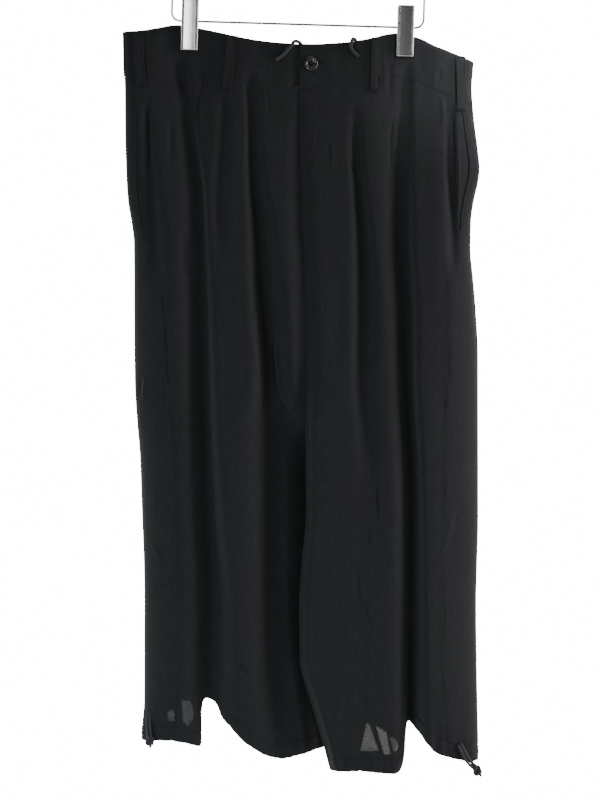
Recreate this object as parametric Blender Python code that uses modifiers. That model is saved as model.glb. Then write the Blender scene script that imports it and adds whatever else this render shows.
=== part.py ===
"""Balloon trousers hanging by the waistband from a wire hanger with two clips.

Wide black trousers with a tall waistband, belt loops, a one-button fly, pleats that open into deep
hanging folds, and drawcord hems. The cloth is built as the pieces that a maker would cut: two
fronts, two backs, four waistband lengths, fly, pocket edges, loops, button and cords.

Metres, +Z up. The origin is where the hook rests on its rod. The viewer stands on the -Y side and
sees the fronts, with +X to the viewer's right. Right and left in the names are the wearer's, so
the right leg is on the viewer's left. Tables are in millimetres: "drop" is measured down from the
hanger's bar, "across" from the middle of the bar to the viewer's right, and "depth" from the plane
of the bar.
"""

import math

import bmesh
import bpy
import numpy as np
from mathutils import Matrix, Vector

MM = 0.001
SEAM_GAP = 0.3
WAIST_GAP = 0.45

# Cloth thickness, millimetres.
BODY_WALL = 1.5
HEM_WALL = 2.4
BAND_WALL = 2.0
LOOP_WALL = 1.2
FLY_WALL = 1.0
POCKET_WALL = 1.0

# Waistband and the pieces sewn to it, millimetres.
BAND_HEIGHT = 60.0
BAND_OVERLAP_FROM = 2.7
BAND_UNDERLAP_TO = 32.0
LOOP_WIDTH = 13.0
LOOP_LENGTH = 74.0
LOOP_STAND = 2.4
FLY_WIDTH = 22.0
FLY_LENGTH = 216.0
POCKET_FROM, POCKET_TO = 118.0, 276.0
POCKET_WIDTH = 11.0
BUTTON_DIAMETER = 19.0
BUTTON_THICKNESS = 3.2
BUTTON_PLACE = (18.0, 51.0)
CASING_HEIGHT = 20.0

# Cords, millimetres.
WAIST_CORD = 4.4
HEM_CORD = 3.6
KNOT_WIDTH, KNOT_HEIGHT = 11.5, 9.5

# Hanger, millimetres.
WIRE = 3.2
HOOK_RADIUS = 20.0
HOOK_TO_BAR = 165.0
BAR_HALF_WIDTH = 168.0
HANGER_TILT = math.radians(1.7)
CLIP_WIDTH = 22.5
CLIP_PLATE = 1.2
CLIP_ABOVE_BAR, CLIP_BELOW_BAR = 29.0, 38.0
CLIPS_ACROSS = (-143.5, 144.0)

CROTCH_DROP = 514.0
CROTCH_CURVE = 125.0

RIGHT, LEFT = "right", "left"
FRONT, BACK = "front", "back"

# The waistband's top edge, which sags between the clips and beyond them.
TOP_EDGE = (
    # across, drop
    (-232, 10), (-212, 9), (-190, 6), (-161, 1), (-133, 5), (-93, 14), (-59, 21), (-25, 25),
    (19, 27), (59, 25), (94, 20), (131, 12), (157, 17), (186, 30), (213, 41), (234, 50.5),
)  # fmt: skip

# How far the cloth stands from the plane of the bar, and how long the turn at each side is.
FULLNESS = (
    # drop, front, back, turn
    (0, 5.5, 5.5, 8), (50, 6.5, 6.5, 9), (85, 9, 9, 14), (141, 17, 18, 30), (234, 26, 28, 52),
    (367, 35, 38, 72), (514, 42, 45, 85), (647, 46, 48, 92), (781, 46, 48, 92),
    (901, 42, 44, 84), (961, 34, 36, 74), (1000, 29, 30, 70),
)  # fmt: skip

# The side seams, as they hang.
SIDE_SEAM = {
    RIGHT: (
        # drop, across
        (0, -232), (50, -231), (85, -230), (141, -229.5), (200, -228), (234, -226), (262, -221.5),
        (290, -218), (367, -217.5), (474, -216.5), (520, -214), (575, -209), (647, -206.5),
        (781, -203.5), (901, -203.5), (945, -206), (965, -205),
    ),
    LEFT: (
        (0, 234), (48, 234), (85, 231.5), (127, 235), (170, 240.5), (192, 242.5), (210, 240.5),
        (234, 235), (262, 231), (300, 230), (341, 233.5), (380, 236.5), (447, 240), (647, 241),
        (760, 238.5), (861, 239.5), (961, 240.5), (985, 240.5),
    ),
}  # fmt: skip

# The centre front and centre back seams down to the crotch, then each leg's inseam: where it hangs
# across, and its depth. The left leg's inseam hangs in front of the right leg's.
INNER_SEAM = {
    RIGHT: (
        (0, 3, -24), (141, 2, -24), (234, 4.7, -24), (367, 9.3, -24), (474, 11.3, -24),
        (514, 11.3, -24), (530, 12.7, -17), (556, 15, 1), (600, 16.5, 13), (700, 17, 17),
        (781, 18, 18), (901, 28, 17), (961, 37, 14), (1000, 40, 13),
    ),
    LEFT: (
        (0, 3, -24), (141, 2, -24), (234, 4.7, -24), (367, 9.3, -24), (474, 11.3, -24),
        (514, 11.3, -24), (540, 11.0, -27), (575, 11.4, -31), (648, 11.5, -34), (715, 6, -34),
        (768, 2.5, -34), (845, 3.3, -32), (881, 12, -29), (913, 22, -25), (942, 30, -20),
        (966, 36.5, -17), (987, 42, -15), (1000, 46, -14),
    ),
}  # fmt: skip

# Each fold: how its profile flattens at the floor, and where it runs. A positive lean tucks the
# floor of the fold to the viewer's right.
FOLDS = {
    (RIGHT, FRONT): {
        "side pleat": (2.0, (
            # drop, across, half width, depth, lean
            (105, -199, 6, 0, 0), (141, -198, 7, 6, 0), (234, -193, 8, 7, 0), (310, -188, 9, 5, 0),
            (380, -180, 10, 0, 0), (700, -165, 14, 0, 0), (960, -163, 14, 0, 0),
        )),
        "outer deep fold": (3.2, (
            (40, -157, 8, 0, 0), (85, -151, 9, 4, 1), (141, -145, 9, 10, 2), (234, -134, 10, 15, 4),
            (367, -130, 12, 22, 6), (474, -127, 13, 28, 6), (567, -124, 14, 32, 6),
            (660, -119, 15, 35, 4), (781, -114, 16, 36, -1), (875, -112, 15, 36, -3),
            (961, -112, 14, 30, -4),
        )),
        "loop pleat": (2.0, (
            (90, -99, 6, 0, 0), (110, -97, 7, 4, 0), (234, -103, 8, 5, 0), (330, -104, 10, 0, 0),
        )),
        "inner deep fold": (3.2, (
            (60, -64, 6, 0, 0), (85, -63, 6, 4, -1), (127, -59, 7, 8, -1), (200, -55, 9, 13, -2),
            (275, -47, 12, 19, -3), (367, -39, 15, 25, -4), (440, -33, 15, 28, -4),
            (478, -30.5, 16, 30, -4), (500, -28, 19, 30, -4), (512, -24, 22, 31, -4),
            (523, -18, 28, 33, -4), (540, -14, 31, 35, -3),
            (781, -10, 32, 36, -3), (901, -5, 33, 30, 0), (961, 0, 33, 16, 0),
        )),
        "fly fold": (2.0, (
            (85, 3, 6, 0, 0), (141, 2, 8, 4, 0), (234, 4, 11, 7, 0), (367, 9, 12, 8, 0),
            (474, 11, 12, 8, 0), (530, 11, 12, 0, 0),
        )),
    },
    (LEFT, FRONT): {
        "fly fold": (2.0, (
            (85, 3, 6, 0, 0), (141, 2, 8, 4, 0), (234, 4, 11, 7, 0), (367, 9, 12, 8, 0),
            (474, 11, 12, 8, 0), (530, 11, 12, 0, 0),
        )),
        "inner pleat": (2.4, (
            (105, 77, 6, 0, 0), (150, 77, 7, 6, 0), (234, 82, 8, 12, 1), (300, 87, 10, 14, 1),
            (367, 89, 11, 13, 0), (474, 87, 11, 9, 0), (560, 92, 11, 4, 0), (640, 97, 10, 0, 0),
            (960, 95, 12, 0, 0),
        )),
        "outer deep fold": (3.2, (
            (40, 145, 6, 0, 0), (85, 145, 7, 4, 0), (127, 144, 9, 9, 0), (200, 138, 13, 14, 1),
            (300, 139, 13, 22, 1), (367, 143, 13, 25, 1), (474, 145, 12, 30, 1), (567, 150, 12, 33, 1),
            (660, 153, 12, 35, 0), (781, 154, 12, 36, -1), (875, 155, 12, 36, -4),
            (961, 155, 12, 30, -5), (1000, 155, 12, 28, -5),
        )),
        "side pleat": (2.0, (
            (105, 205, 5, 0, 0), (141, 204, 6, 6, 0), (210, 203, 6, 7, 0), (300, 206, 7, 5, 0),
            (345, 207, 8, 0, 0), (700, 200, 12, 0, 0), (960, 200, 12, 0, 0),
        )),
    },
    (RIGHT, BACK): {
        "side pleat": (2.0, (
            (120, -186, 7, 0, 0), (180, -184, 8, 7, 0), (300, -180, 9, 6, 0), (400, -178, 10, 0, 0),
        )),
        "hem fold": (3.0, (
            (600, -110, 13, 0, 0), (781, -111, 14, 14, 0), (901, -112, 14, 24, 0),
            (961, -112, 13, 22, 0),
        )),
        "deep fold": (3.0, (
            (60, -75, 7, 0, 0), (100, -74, 8, 5, 0), (234, -72, 11, 14, 2), (367, -70, 14, 20, 3),
            (514, -66, 16, 26, 5), (647, -60, 18, 30, 5), (781, -57, 18, 32, 5),
            (901, -56, 17, 28, 4), (961, -56, 16, 20, 3),
        )),
        "seat fold": (2.0, (
            (90, -22, 7, 0, 0), (234, -24, 10, 8, 0), (367, -26, 11, 9, 0), (540, -28, 12, 0, 0),
        )),
    },
    (LEFT, BACK): {
        "seat fold": (2.0, (
            (90, 26, 7, 0, 0), (260, 28, 10, 7, 0), (367, 31, 11, 8, 0), (540, 34, 12, 0, 0),
        )),
        "deep fold": (3.0, (
            (60, 70, 7, 0, 0), (100, 71, 8, 5, 0), (234, 75, 11, 13, -2), (367, 79, 13, 19, -3),
            (514, 82, 15, 25, -4), (647, 84, 17, 30, -4), (781, 86, 18, 32, -4),
            (901, 88, 17, 28, -3), (1000, 90, 16, 18, -2),
        )),
        "hem fold": (3.0, (
            (600, 157, 12, 0, 0), (781, 156, 13, 14, 0), (901, 155, 13, 24, 0), (980, 155, 12, 22, 0),
        )),
        "side pleat": (2.0, (
            (120, 190, 7, 0, 0), (180, 188, 8, 7, 0), (300, 186, 9, 6, 0), (400, 184, 10, 0, 0),
        )),
    },
}  # fmt: skip

# Folds that the columns of a panel follow, so that its edges run down them, from the side inwards,
# and how many columns fill the cloth before each and after the last.
GUIDES = {
    (RIGHT, FRONT): ("side pleat", "outer deep fold", "inner deep fold"),
    (LEFT, FRONT): ("side pleat", "outer deep fold", "inner pleat"),
    (RIGHT, BACK): ("hem fold", "deep fold"),
    (LEFT, BACK): ("hem fold", "deep fold"),
}
SHALLOW_STEPS = (-1.3, -0.6, 0.0, 0.6, 1.3)
DEEP_STEPS = (-1.4, -1.0, -0.75, -0.4, 0.4, 0.75, 1.0, 1.4)
TURN_STEPS = (0.0, 7.0, 20.0, 36.0, 54.0)
FILL_COLUMNS = {
    (RIGHT, FRONT): (1, 1, 3, 2),
    (LEFT, FRONT): (1, 2, 3, 3),
    (RIGHT, BACK): (5, 0, 3),
    (LEFT, BACK): (3, 3, 3),
}
EDGE_COLUMN = 8.0

# The drops of the rows of a panel, which its waist seam and its hem's edge then bend.
ROW_LEVELS = (
    85, 106, 130, 160, 196, 236, 282, 335, 390, 440, 478, 500, 513, 524, 540, 575, 640, 715, 785, 845,
    890, 920, 950,
)  # fmt: skip

# The hem's edge. It drops to the drawcord's casing beside each deep fold and rises inside it.
HEM_EDGE = {
    (RIGHT, FRONT): (
        # across, drop
        (-206, 953), (-170, 951), (-145, 954), (-127, 957), (-121, 940), (-114, 905), (-104, 898),
        (-99, 905), (-95, 920), (-89, 929), (-75, 943), (-62, 955), (-48, 965), (-36, 972),
        (-19, 975), (0, 971), (14, 966), (38, 965),
    ),
    (LEFT, FRONT): (
        (28, 991), (58, 992), (74, 991), (103, 993), (126, 995), (134, 991), (139, 983), (143, 968),
        (147, 945), (152, 929), (158, 927), (163, 933), (167, 944), (171, 955), (176, 961),
        (184, 967), (196, 972), (214, 977), (226, 980), (241, 980),
    ),
    (RIGHT, BACK): (
        (-206, 953), (-165, 948), (-135, 925), (-122, 898), (-110, 889), (-98, 896), (-88, 915),
        (-75, 930), (-55, 947), (-30, 960), (0, 964), (38, 962),
    ),
    (LEFT, BACK): (
        (28, 988), (60, 988), (100, 988), (125, 984), (138, 955), (146, 925), (155, 917),
        (165, 926), (172, 944), (184, 958), (205, 968), (225, 974), (241, 980),
    ),
}  # fmt: skip

# How far the clips pinch the two layers together, and how deep that layer then lies.
CLIP_PINCH = ((0, 1.0), (45, 1.0), (62, 0.8), (85, 0.5), (141, 0.18), (234, 0.0))
CLIP_PINCH_HALF_WIDTH = 34.0
PINCHED_DEPTH = 1.4

# Belt loops: where the top and the foot of each lies across, on the front and on the back.
LOOPS = {
    "loop_front_1": (FRONT, RIGHT, -212, -208),
    "loop_front_2": (FRONT, RIGHT, -86, -94),
    "loop_front_3": (FRONT, LEFT, 104.5, 103),
    "loop_front_4": (FRONT, LEFT, 217, 218),
    "loop_back_1": (BACK, RIGHT, -112, -112),
    "loop_back_2": (BACK, RIGHT, -9, -9),
    "loop_back_3": (BACK, LEFT, 112, 112),
}

COLOURS = {
    # name: (red, green, blue), roughness, metallic
    "black_cloth": ((0.013, 0.014, 0.015), 0.85, 0.0),
    "black_cord": ((0.012, 0.012, 0.013), 0.8, 0.0),
    "dark_button": ((0.02, 0.018, 0.018), 0.25, 0.0),
    "steel_wire": ((0.45, 0.46, 0.47), 0.3, 1.0),
    "steel_clip": ((0.6, 0.61, 0.62), 0.25, 1.0),
}


def clear_scene():
    for item in list(bpy.data.objects):
        bpy.data.objects.remove(item)


def through(points, at):
    """A smooth line through (place, value) points that never swings past them, read at a place."""
    places = np.array([p[0] for p in points], float)
    values = np.array([p[1] for p in points], float)
    if at <= places[0]:
        return float(values[0])
    if at >= places[-1]:
        return float(values[-1])
    steps = np.diff(places)
    slopes = np.diff(values) / steps
    tangents = np.zeros(len(places))
    tangents[0], tangents[-1] = slopes[0], slopes[-1]
    for i in range(1, len(places) - 1):
        if slopes[i - 1] * slopes[i] > 0:
            before = 2 * steps[i] + steps[i - 1]
            after = steps[i] + 2 * steps[i - 1]
            tangents[i] = (before + after) / (before / slopes[i - 1] + after / slopes[i])
    i = int(np.searchsorted(places, at, side="right")) - 1
    t = (at - places[i]) / steps[i]
    return float(
        (2 * t**3 - 3 * t**2 + 1) * values[i]
        + (t**3 - 2 * t**2 + t) * steps[i] * tangents[i]
        + (3 * t**2 - 2 * t**3) * values[i + 1]
        + (t**3 - t**2) * steps[i] * tangents[i + 1]
    )


def column_of(rows, column, at):
    return through([(row[0], row[column]) for row in rows], at)


def smooth_step(value, low, high):
    t = min(max((value - low) / (high - low), 0.0), 1.0)
    return t * t * (3 - 2 * t)


def fold_at(stations, drop):
    """A fold's place across, half width, depth and lean at a drop; it has none above and below."""
    across, width, depth, lean = (column_of(stations, i, drop) for i in (1, 2, 3, 4))
    if drop < stations[0][0]:
        depth = 0.0
    return across, width, depth, lean


def crotch_opening(drop):
    """0 where the two halves are sewn together, 1 below the crotch, along a curve between."""
    q = min(max((drop - CROTCH_DROP + CROTCH_CURVE) / CROTCH_CURVE, 0.0), 1.0)
    return q**2.4


def side_turn(half, across, drop):
    """0 at the side seam and 1 past the turn, along a quarter ellipse."""
    seam = column_of(SIDE_SEAM[half], 1, drop)
    turn = column_of(FULLNESS, 3, drop)
    inside = abs(across - seam)
    if (across - seam) * (-1 if half == LEFT else 1) <= 0:
        inside = 0.0
    return math.sqrt(1 - (1 - min(inside / turn, 1.0)) ** 2)


INNER_TURN = {(RIGHT, FRONT): 30.0, (RIGHT, BACK): 55.0, (LEFT, FRONT): 12.0, (LEFT, BACK): 60.0}


def cloth_point(half, face, across, drop):
    """The middle of the cloth, in millimetres as (across, depth, drop)."""
    sign = -1 if face == FRONT else 1
    full = column_of(FULLNESS, 1 if face == FRONT else 2, drop)
    pinch = column_of(CLIP_PINCH, 1, drop)
    for clip in CLIPS_ACROSS:
        near = math.exp(-(((across - clip) / CLIP_PINCH_HALF_WIDTH) ** 4)) * pinch
        full += (PINCHED_DEPTH - full) * near
    inner = column_of(INNER_SEAM[half], 1, drop)
    tip = column_of(INNER_SEAM[half], 2, drop)
    opening = crotch_opening(drop)
    inside = min(abs(across - inner) / INNER_TURN[half, face], 1.0)
    inner_share = 1 - opening * (1 - math.sin(math.pi / 2 * inside) ** 2)
    side_share = side_turn(half, across, drop)
    share = inner_share * side_share
    sunk, shift = 0.0, 0.0
    for power, stations in FOLDS[half, face].values():
        place, width, depth, lean = fold_at(stations, drop)
        profile = math.exp(-(abs((across - place) / width) ** power))
        sunk += depth * profile
        shift += lean * profile
    wall = BODY_WALL + (HEM_WALL - BODY_WALL) * smooth_step(drop, 905, 935)
    layer = sign * (wall + SEAM_GAP) / 2
    rest = (tip + layer) if inner_share < side_share else 0.0
    depth = rest * (1 - share) + sign * (full - sunk) * share
    return across + shift * share, depth, drop


def to_world(point):
    across, depth, drop = point
    return Vector(
        (
            (across - HOOK_TO_BAR * math.sin(HANGER_TILT)) * MM,
            depth * MM,
            (-HOOK_TO_BAR * math.cos(HANGER_TILT) - drop) * MM,
        )
    )


def lifted(half, face, across, drop, height):
    """A point moved out of the cloth along its normal, in millimetres."""
    step = 0.5
    here = np.array(cloth_point(half, face, across, drop))
    sideways = np.array(cloth_point(half, face, across + step, drop)) - here
    down = np.array(cloth_point(half, face, across, drop + step)) - here
    normal = np.cross(sideways, down)
    normal /= np.linalg.norm(normal)
    if normal[1] * (-1 if face == FRONT else 1) < 0:
        normal = -normal
    return tuple(here + normal * height)


def new_material(name):
    colour, roughness, metallic = COLOURS[name]
    material = bpy.data.materials.new(name)
    material.use_nodes = True
    shader = material.node_tree.nodes["Principled BSDF"]
    shader.inputs["Base Color"].default_value = (*colour, 1.0)
    shader.inputs["Roughness"].default_value = roughness
    shader.inputs["Metallic"].default_value = metallic
    return material


def new_object(name, data, material):
    data.materials.append(MATERIALS[material])
    item = bpy.data.objects.new(name, data)
    PARTS.objects.link(item)
    return item


def shell(name, rows, wall, material, edge_wall=None, edge_height=0.0):
    """A wall of even thickness round a grid of points; its last rows may be thicker, as a hem is."""
    mesh = bpy.data.meshes.new(name)
    width = len(rows[0])
    points = [to_world(point) for row in rows for point in row]
    faces = [
        (r * width + c, r * width + c + 1, (r + 1) * width + c + 1, (r + 1) * width + c)
        for r in range(len(rows) - 1)
        for c in range(width - 1)
    ]
    mesh.from_pydata(points, [], faces)
    mesh.shade_smooth()
    item = new_object(name, mesh, material)
    solidify = item.modifiers.new("wall", "SOLIDIFY")
    solidify.thickness = max(wall, edge_wall or 0.0) * MM
    solidify.offset = 0.0
    if edge_wall:
        group = item.vertex_groups.new(name="thick")
        solidify.vertex_group = "thick"
        for index in range(len(points)):
            r, c = divmod(index, width)
            to_edge = rows[-1][c][2] - rows[r][c][2]
            thick = 1 - smooth_step(to_edge, edge_height * 0.8, edge_height * 1.3)
            group.add([index], (wall + (edge_wall - wall) * thick) / edge_wall, "REPLACE")
    return item


def base_line(half, face, drop):
    """Where the columns of a panel lie across at a drop, from the side seam inwards."""
    inward = -1 if half == LEFT else 1
    seam = column_of(SIDE_SEAM[half], 1, drop)
    turn = column_of(FULLNESS, 3, drop)
    inner = column_of(INNER_SEAM[half], 1, drop)
    gap = SEAM_GAP * 1.4 if crotch_opening(drop) < 1 else (BODY_WALL + SEAM_GAP) / 2
    # Measured inwards from the side seam.
    last = (inner - seam) * inward - gap
    groups = [[turn * (1 - math.cos(math.radians(a))) for a in TURN_STEPS]]
    for name in GUIDES[half, face]:
        place, width, _, _ = fold_at(FOLDS[half, face][name][1], drop)
        middle = (place - seam) * inward
        steps = SHALLOW_STEPS if name in ("side pleat", "inner pleat", "hem fold") else DEEP_STEPS
        before = middle - groups[-1][-1] - 4.0
        after = last - EDGE_COLUMN - 4.0 - middle
        reach_before = min(width, before / -steps[0])
        reach_after = min(width, after / steps[-1])
        groups.append([middle + k * (reach_before if k < 0 else reach_after) for k in steps])
    groups.append([last - EDGE_COLUMN, last])
    line = list(groups[0])
    for group, fill in zip(groups[1:], FILL_COLUMNS[half, face]):
        start, end = line[-1], group[0]
        line += [start + (end - start) * (i + 1) / (fill + 1) for i in range(fill)]
        line += group
    return [seam + inward * x for x in line]


def seam_drop(across):
    return through(TOP_EDGE, across) + BAND_HEIGHT + WAIST_GAP


def waist_columns(half, face):
    """Where the columns of a panel lie across at its seam with the waistband, which slopes."""
    line = base_line(half, face, ROW_LEVELS[0])
    for _ in range(4):
        line = [base_line(half, face, seam_drop(x))[c] for c, x in enumerate(line)]
    return line


def panel_rows(half, face):
    waist_line = waist_columns(half, face)
    hem_line = base_line(half, face, ROW_LEVELS[-1])
    rows = []
    for level in ROW_LEVELS:
        at_waist = 1 - smooth_step(level, ROW_LEVELS[0], 320)
        at_hem = smooth_step(level, 690, ROW_LEVELS[-1])
        row = []
        for c in range(len(waist_line)):
            drop = (
                level
                + (seam_drop(waist_line[c]) - ROW_LEVELS[0]) * at_waist
                + (through(HEM_EDGE[half, face], hem_line[c]) - ROW_LEVELS[-1]) * at_hem
            )
            across = base_line(half, face, drop)[c]
            point = cloth_point(half, face, across, drop)
            if c == 0:
                # The side seam's end face stands back from the seam.
                depth = (-1 if face == FRONT else 1) * SEAM_GAP * 0.75
                point = (point[0], point[1] + depth, point[2])
            row.append(point)
        rows.append(row)
    return rows


def body_panel(half, face):
    return shell(
        f"{face}_{half}", panel_rows(half, face), BODY_WALL, "black_cloth", HEM_WALL, CASING_HEIGHT
    )


def band_depth_shift(across):
    """The right front band steps back where the left one buttons over it."""
    return (BAND_WALL + SEAM_GAP + 0.1) * smooth_step(across, -14.0, -1.0)


def band(name, half, face, line, under=False):
    """A length of waistband. Its columns meet those of the trousers at the seam below it."""
    rows = []
    for share in (0.0, 0.55, 1.0):
        row = []
        for c, across in enumerate(line):
            foot = through(TOP_EDGE, across) + BAND_HEIGHT
            drop = foot - BAND_HEIGHT * (1 - share)
            # It follows the side seams, which draw in a little towards its foot.
            near_seam = 1 - smooth_step(abs(across - SIDE_SEAM[half][0][1]), 0.0, 25.0)
            seam_moves = column_of(SIDE_SEAM[half], 1, drop) - column_of(SIDE_SEAM[half], 1, foot)
            x, depth, drop = cloth_point(half, face, across + seam_moves * near_seam, drop)
            if under:
                depth += band_depth_shift(across)
            if c == 0:
                depth += (-1 if face == FRONT else 1) * SEAM_GAP * 0.75
            row.append((x, depth, drop))
        rows.append(row)
    return shell(name, rows, BAND_WALL, "black_cloth")


def waistband():
    under = [float(x) for x in np.linspace(waist_columns(RIGHT, FRONT)[-1], BAND_UNDERLAP_TO, 4)[1:]]
    band("waistband_front_right", RIGHT, FRONT, waist_columns(RIGHT, FRONT) + under, under=True)
    band("waistband_front_left", LEFT, FRONT, waist_columns(LEFT, FRONT)[:-1] + [BAND_OVERLAP_FROM])
    band("waistband_back_right", RIGHT, BACK, waist_columns(RIGHT, BACK))
    band("waistband_back_left", LEFT, BACK, waist_columns(LEFT, BACK))


def strip(name, half, face, centre, drops, widths, heights, wall):
    """A narrow piece that lies on the cloth, built from the cloth's own points moved out."""
    rows = []
    for drop, width, height, middle in zip(drops, widths, heights, centre):
        rows.append([lifted(half, face, middle + width * k, drop, height) for k in (-0.5, 0.0, 0.5)])
    return shell(name, rows, wall, "black_cloth")


def belt_loops():
    flush = BAND_WALL / 2 + SEAM_GAP + LOOP_WALL / 2 + 0.4
    for name, (face, half, top, foot) in LOOPS.items():
        steps = [i / 7 for i in range(8)]
        centre = [top + (foot - top) * t for t in steps]
        start = through(TOP_EDGE, top) + 1.0
        drops = [start + LOOP_LENGTH * t for t in steps]
        widths = [LOOP_WIDTH] * len(steps)
        heights = [flush + LOOP_STAND * math.sin(math.pi * t) ** 0.7 + 0.5 * t for t in steps]
        strip(name, half, face, centre, drops, widths, heights, LOOP_WALL)


def fly():
    """The fly's outer layer, on the left front: straight down the edge, with a rounded end."""
    height = BODY_WALL / 2 + SEAM_GAP + FLY_WALL / 2 + 0.3
    steps = [i / 12 for i in range(13)]
    start = seam_drop(15.0) + 1.0
    drops = [start + FLY_LENGTH * t for t in steps]
    widths = [FLY_WIDTH * math.sqrt(max(1 - max((t - 0.72) / 0.29, 0) ** 2, 0.0)) for t in steps]
    edge = [column_of(INNER_SEAM[LEFT], 1, drop) + SEAM_GAP for drop in drops]
    centre = [e + w / 2 for e, w in zip(edge, widths)]
    strip("fly", LEFT, FRONT, centre, drops, widths, [height] * len(steps), FLY_WALL)


def pocket_edges():
    """The stitched edge of each in-seam pocket, which lies on the front beside the side seam."""
    height = BODY_WALL / 2 + SEAM_GAP + POCKET_WALL / 2 + 0.5
    for half, inward in ((RIGHT, 1), (LEFT, -1)):
        steps = [i / 9 for i in range(10)]
        drops = [POCKET_FROM + (POCKET_TO - POCKET_FROM) * t for t in steps]
        heights = [height + 1.6 * math.sin(math.pi * t) for t in steps]
        centre = [column_of(SIDE_SEAM[half], 1, d) + inward * (4.0 + POCKET_WIDTH / 2) for d in drops]
        widths = [POCKET_WIDTH] * len(steps)
        strip(f"pocket_edge_{half}", half, FRONT, centre, drops, widths, heights, POCKET_WALL)


def turned(name, profile, material, place, axis_turn=None, steps=32):
    """A turned piece: a profile of (radius, height) pairs in millimetres, spun by a Screw."""
    mesh = bpy.data.meshes.new(name)
    points = [(r * MM, 0, h * MM) for r, h in profile]
    mesh.from_pydata(points, [(i, i + 1) for i in range(len(points) - 1)], [])
    item = new_object(name, mesh, material)
    screw = item.modifiers.new("turn", "SCREW")
    screw.steps = screw.render_steps = steps
    screw.use_merge_vertices = True
    screw.merge_threshold = 0.00001
    screw.use_smooth_shade = True
    item.matrix_world = Matrix.Translation(place) @ (axis_turn or Matrix.Identity(4))
    return item


def cutter(name, radius, length, place, turn):
    mesh = bpy.data.meshes.new(name)
    shape = bmesh.new()
    bmesh.ops.create_cone(
        shape, cap_ends=True, segments=8, radius1=radius * MM, radius2=radius * MM, depth=length * MM
    )
    shape.to_mesh(mesh)
    shape.free()
    item = bpy.data.objects.new(name, mesh)
    item.matrix_world = Matrix.Translation(place) @ turn
    item.hide_render = True
    item.display_type = "WIRE"
    CUTTERS.objects.link(item)
    return item


def button():
    """A round button with a raised rim, a dished middle and four holes."""
    across, drop = BUTTON_PLACE
    height = BAND_WALL / 2 + SEAM_GAP
    back = Vector(to_world(lifted(LEFT, FRONT, across, drop, height)))
    front = Vector(to_world(lifted(LEFT, FRONT, across, drop, height + 1)))
    turn = (front - back).to_track_quat("Z", "Y").to_matrix().to_4x4()
    r, t = BUTTON_DIAMETER / 2, BUTTON_THICKNESS
    profile = [
        (0.0, t - 1.0), (r * 0.52, t - 1.0), (r * 0.68, t - 0.35), (r * 0.8, t), (r * 0.92, t - 0.25),
        (r, t - 1.1), (r * 0.98, t * 0.35), (r * 0.75, 0.0), (0.0, 0.0),
    ]  # fmt: skip
    item = turned("button", profile, "dark_button", back, turn, 20)
    for i in range(4):
        angle = math.radians(45 + 90 * i)
        offset = turn @ Vector((2.3 * MM * math.cos(angle), 2.3 * MM * math.sin(angle), t / 2 * MM))
        hole = cutter(f"button_hole_{i}", 1.0, t * 3, back + offset, turn)
        cut = item.modifiers.new(f"hole {i}", "BOOLEAN")
        cut.object = hole
        cut.operation = "DIFFERENCE"


def smooth_route(points, step):
    """Points about a step apart on a smooth curve through the route's own points."""
    ends = [2 * points[0] - points[1], *points, 2 * points[-1] - points[-2]]
    route = []
    for a, b, c, d in zip(ends, ends[1:], ends[2:], ends[3:]):
        count = max(2, round((c - b).length / step))
        for i in range(count):
            t = i / count
            route.append(
                0.5
                * (2 * b + (c - a) * t + (2 * a - 5 * b + 4 * c - d) * t**2 + (3 * b - a - 3 * c + d) * t**3)
            )
    return route + [points[-1]]


def tube(name, points, diameter, material, cyclic=False, sides=2):
    curve = bpy.data.curves.new(name, "CURVE")
    curve.dimensions = "3D"
    curve.bevel_depth = diameter / 2 * MM
    curve.bevel_resolution = sides
    curve.use_fill_caps = True
    spline = curve.splines.new("POLY")
    spline.points.add(len(points) - 1)
    for place, point in zip(spline.points, points):
        place.co = (*point, 1.0)
    spline.use_cyclic_u = cyclic
    return new_object(name, curve, material)


def beside_band(half, across, drop, outward):
    """A point on the waist cord's route, measured out of the middle of the front waistband."""
    x, depth, drop = cloth_point(half, FRONT, across, drop)
    return to_world((x, depth - outward, drop))


def waist_cord(name, half, across, layers, outside):
    """A cord from inside the waistband, over its top edge, and down its outside."""
    radius = WAIST_CORD / 2
    behind = layers + radius + SEAM_GAP + 0.4
    front = BAND_WALL / 2 + radius + SEAM_GAP + 0.3
    top = radius + SEAM_GAP + 0.7
    middle = (front - behind) / 2
    over = (
        # share of the way across, distance below the top edge, outward
        (0.0, 26.0, -behind), (0.1, 14.0, -behind), (0.3, 3.0, -behind), (0.4, -0.6, -behind + 0.5),
        (0.55, -top + 0.4, middle - 1.6), (0.7, -top, middle), (0.82, -top + 0.4, middle + 1.6),
        (0.95, -0.6, front - 0.3), (1.0, 2.5, front),
    )  # fmt: skip
    points = []
    for share, below, outward in over:
        x = across[0] + (across[1] - across[0]) * share
        points.append(beside_band(half, x, through(TOP_EDGE, x) + below, outward))
    points += [beside_band(half, x, drop, front) for x, drop in outside]
    tube(name, smooth_route(points, 0.005), WAIST_CORD, "black_cord")


def waist_cords():
    """The two free ends of the cord inside the waistband, hanging out over its top edge."""
    double = BAND_WALL * 1.5 + SEAM_GAP + 0.1
    waist_cord("waist_cord_right", RIGHT, (12, -7), double, ((-12, 34), (-19, 42), (-29, 49)))
    waist_cord("waist_cord_left", LEFT, (81, 72), BAND_WALL / 2, ((71, 32), (75, 38.5), (81, 44)))


# The hem cords: where each pair leaves the casing, and the places it passes, ending in a knot.
HEM_CORDS = {
    RIGHT: ((-197, 924), (-197, 932), (-196, 940), (-195.5, 946)),
    LEFT: ((217, 962), (221, 970), (227, 980), (235, 988)),
}


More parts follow.
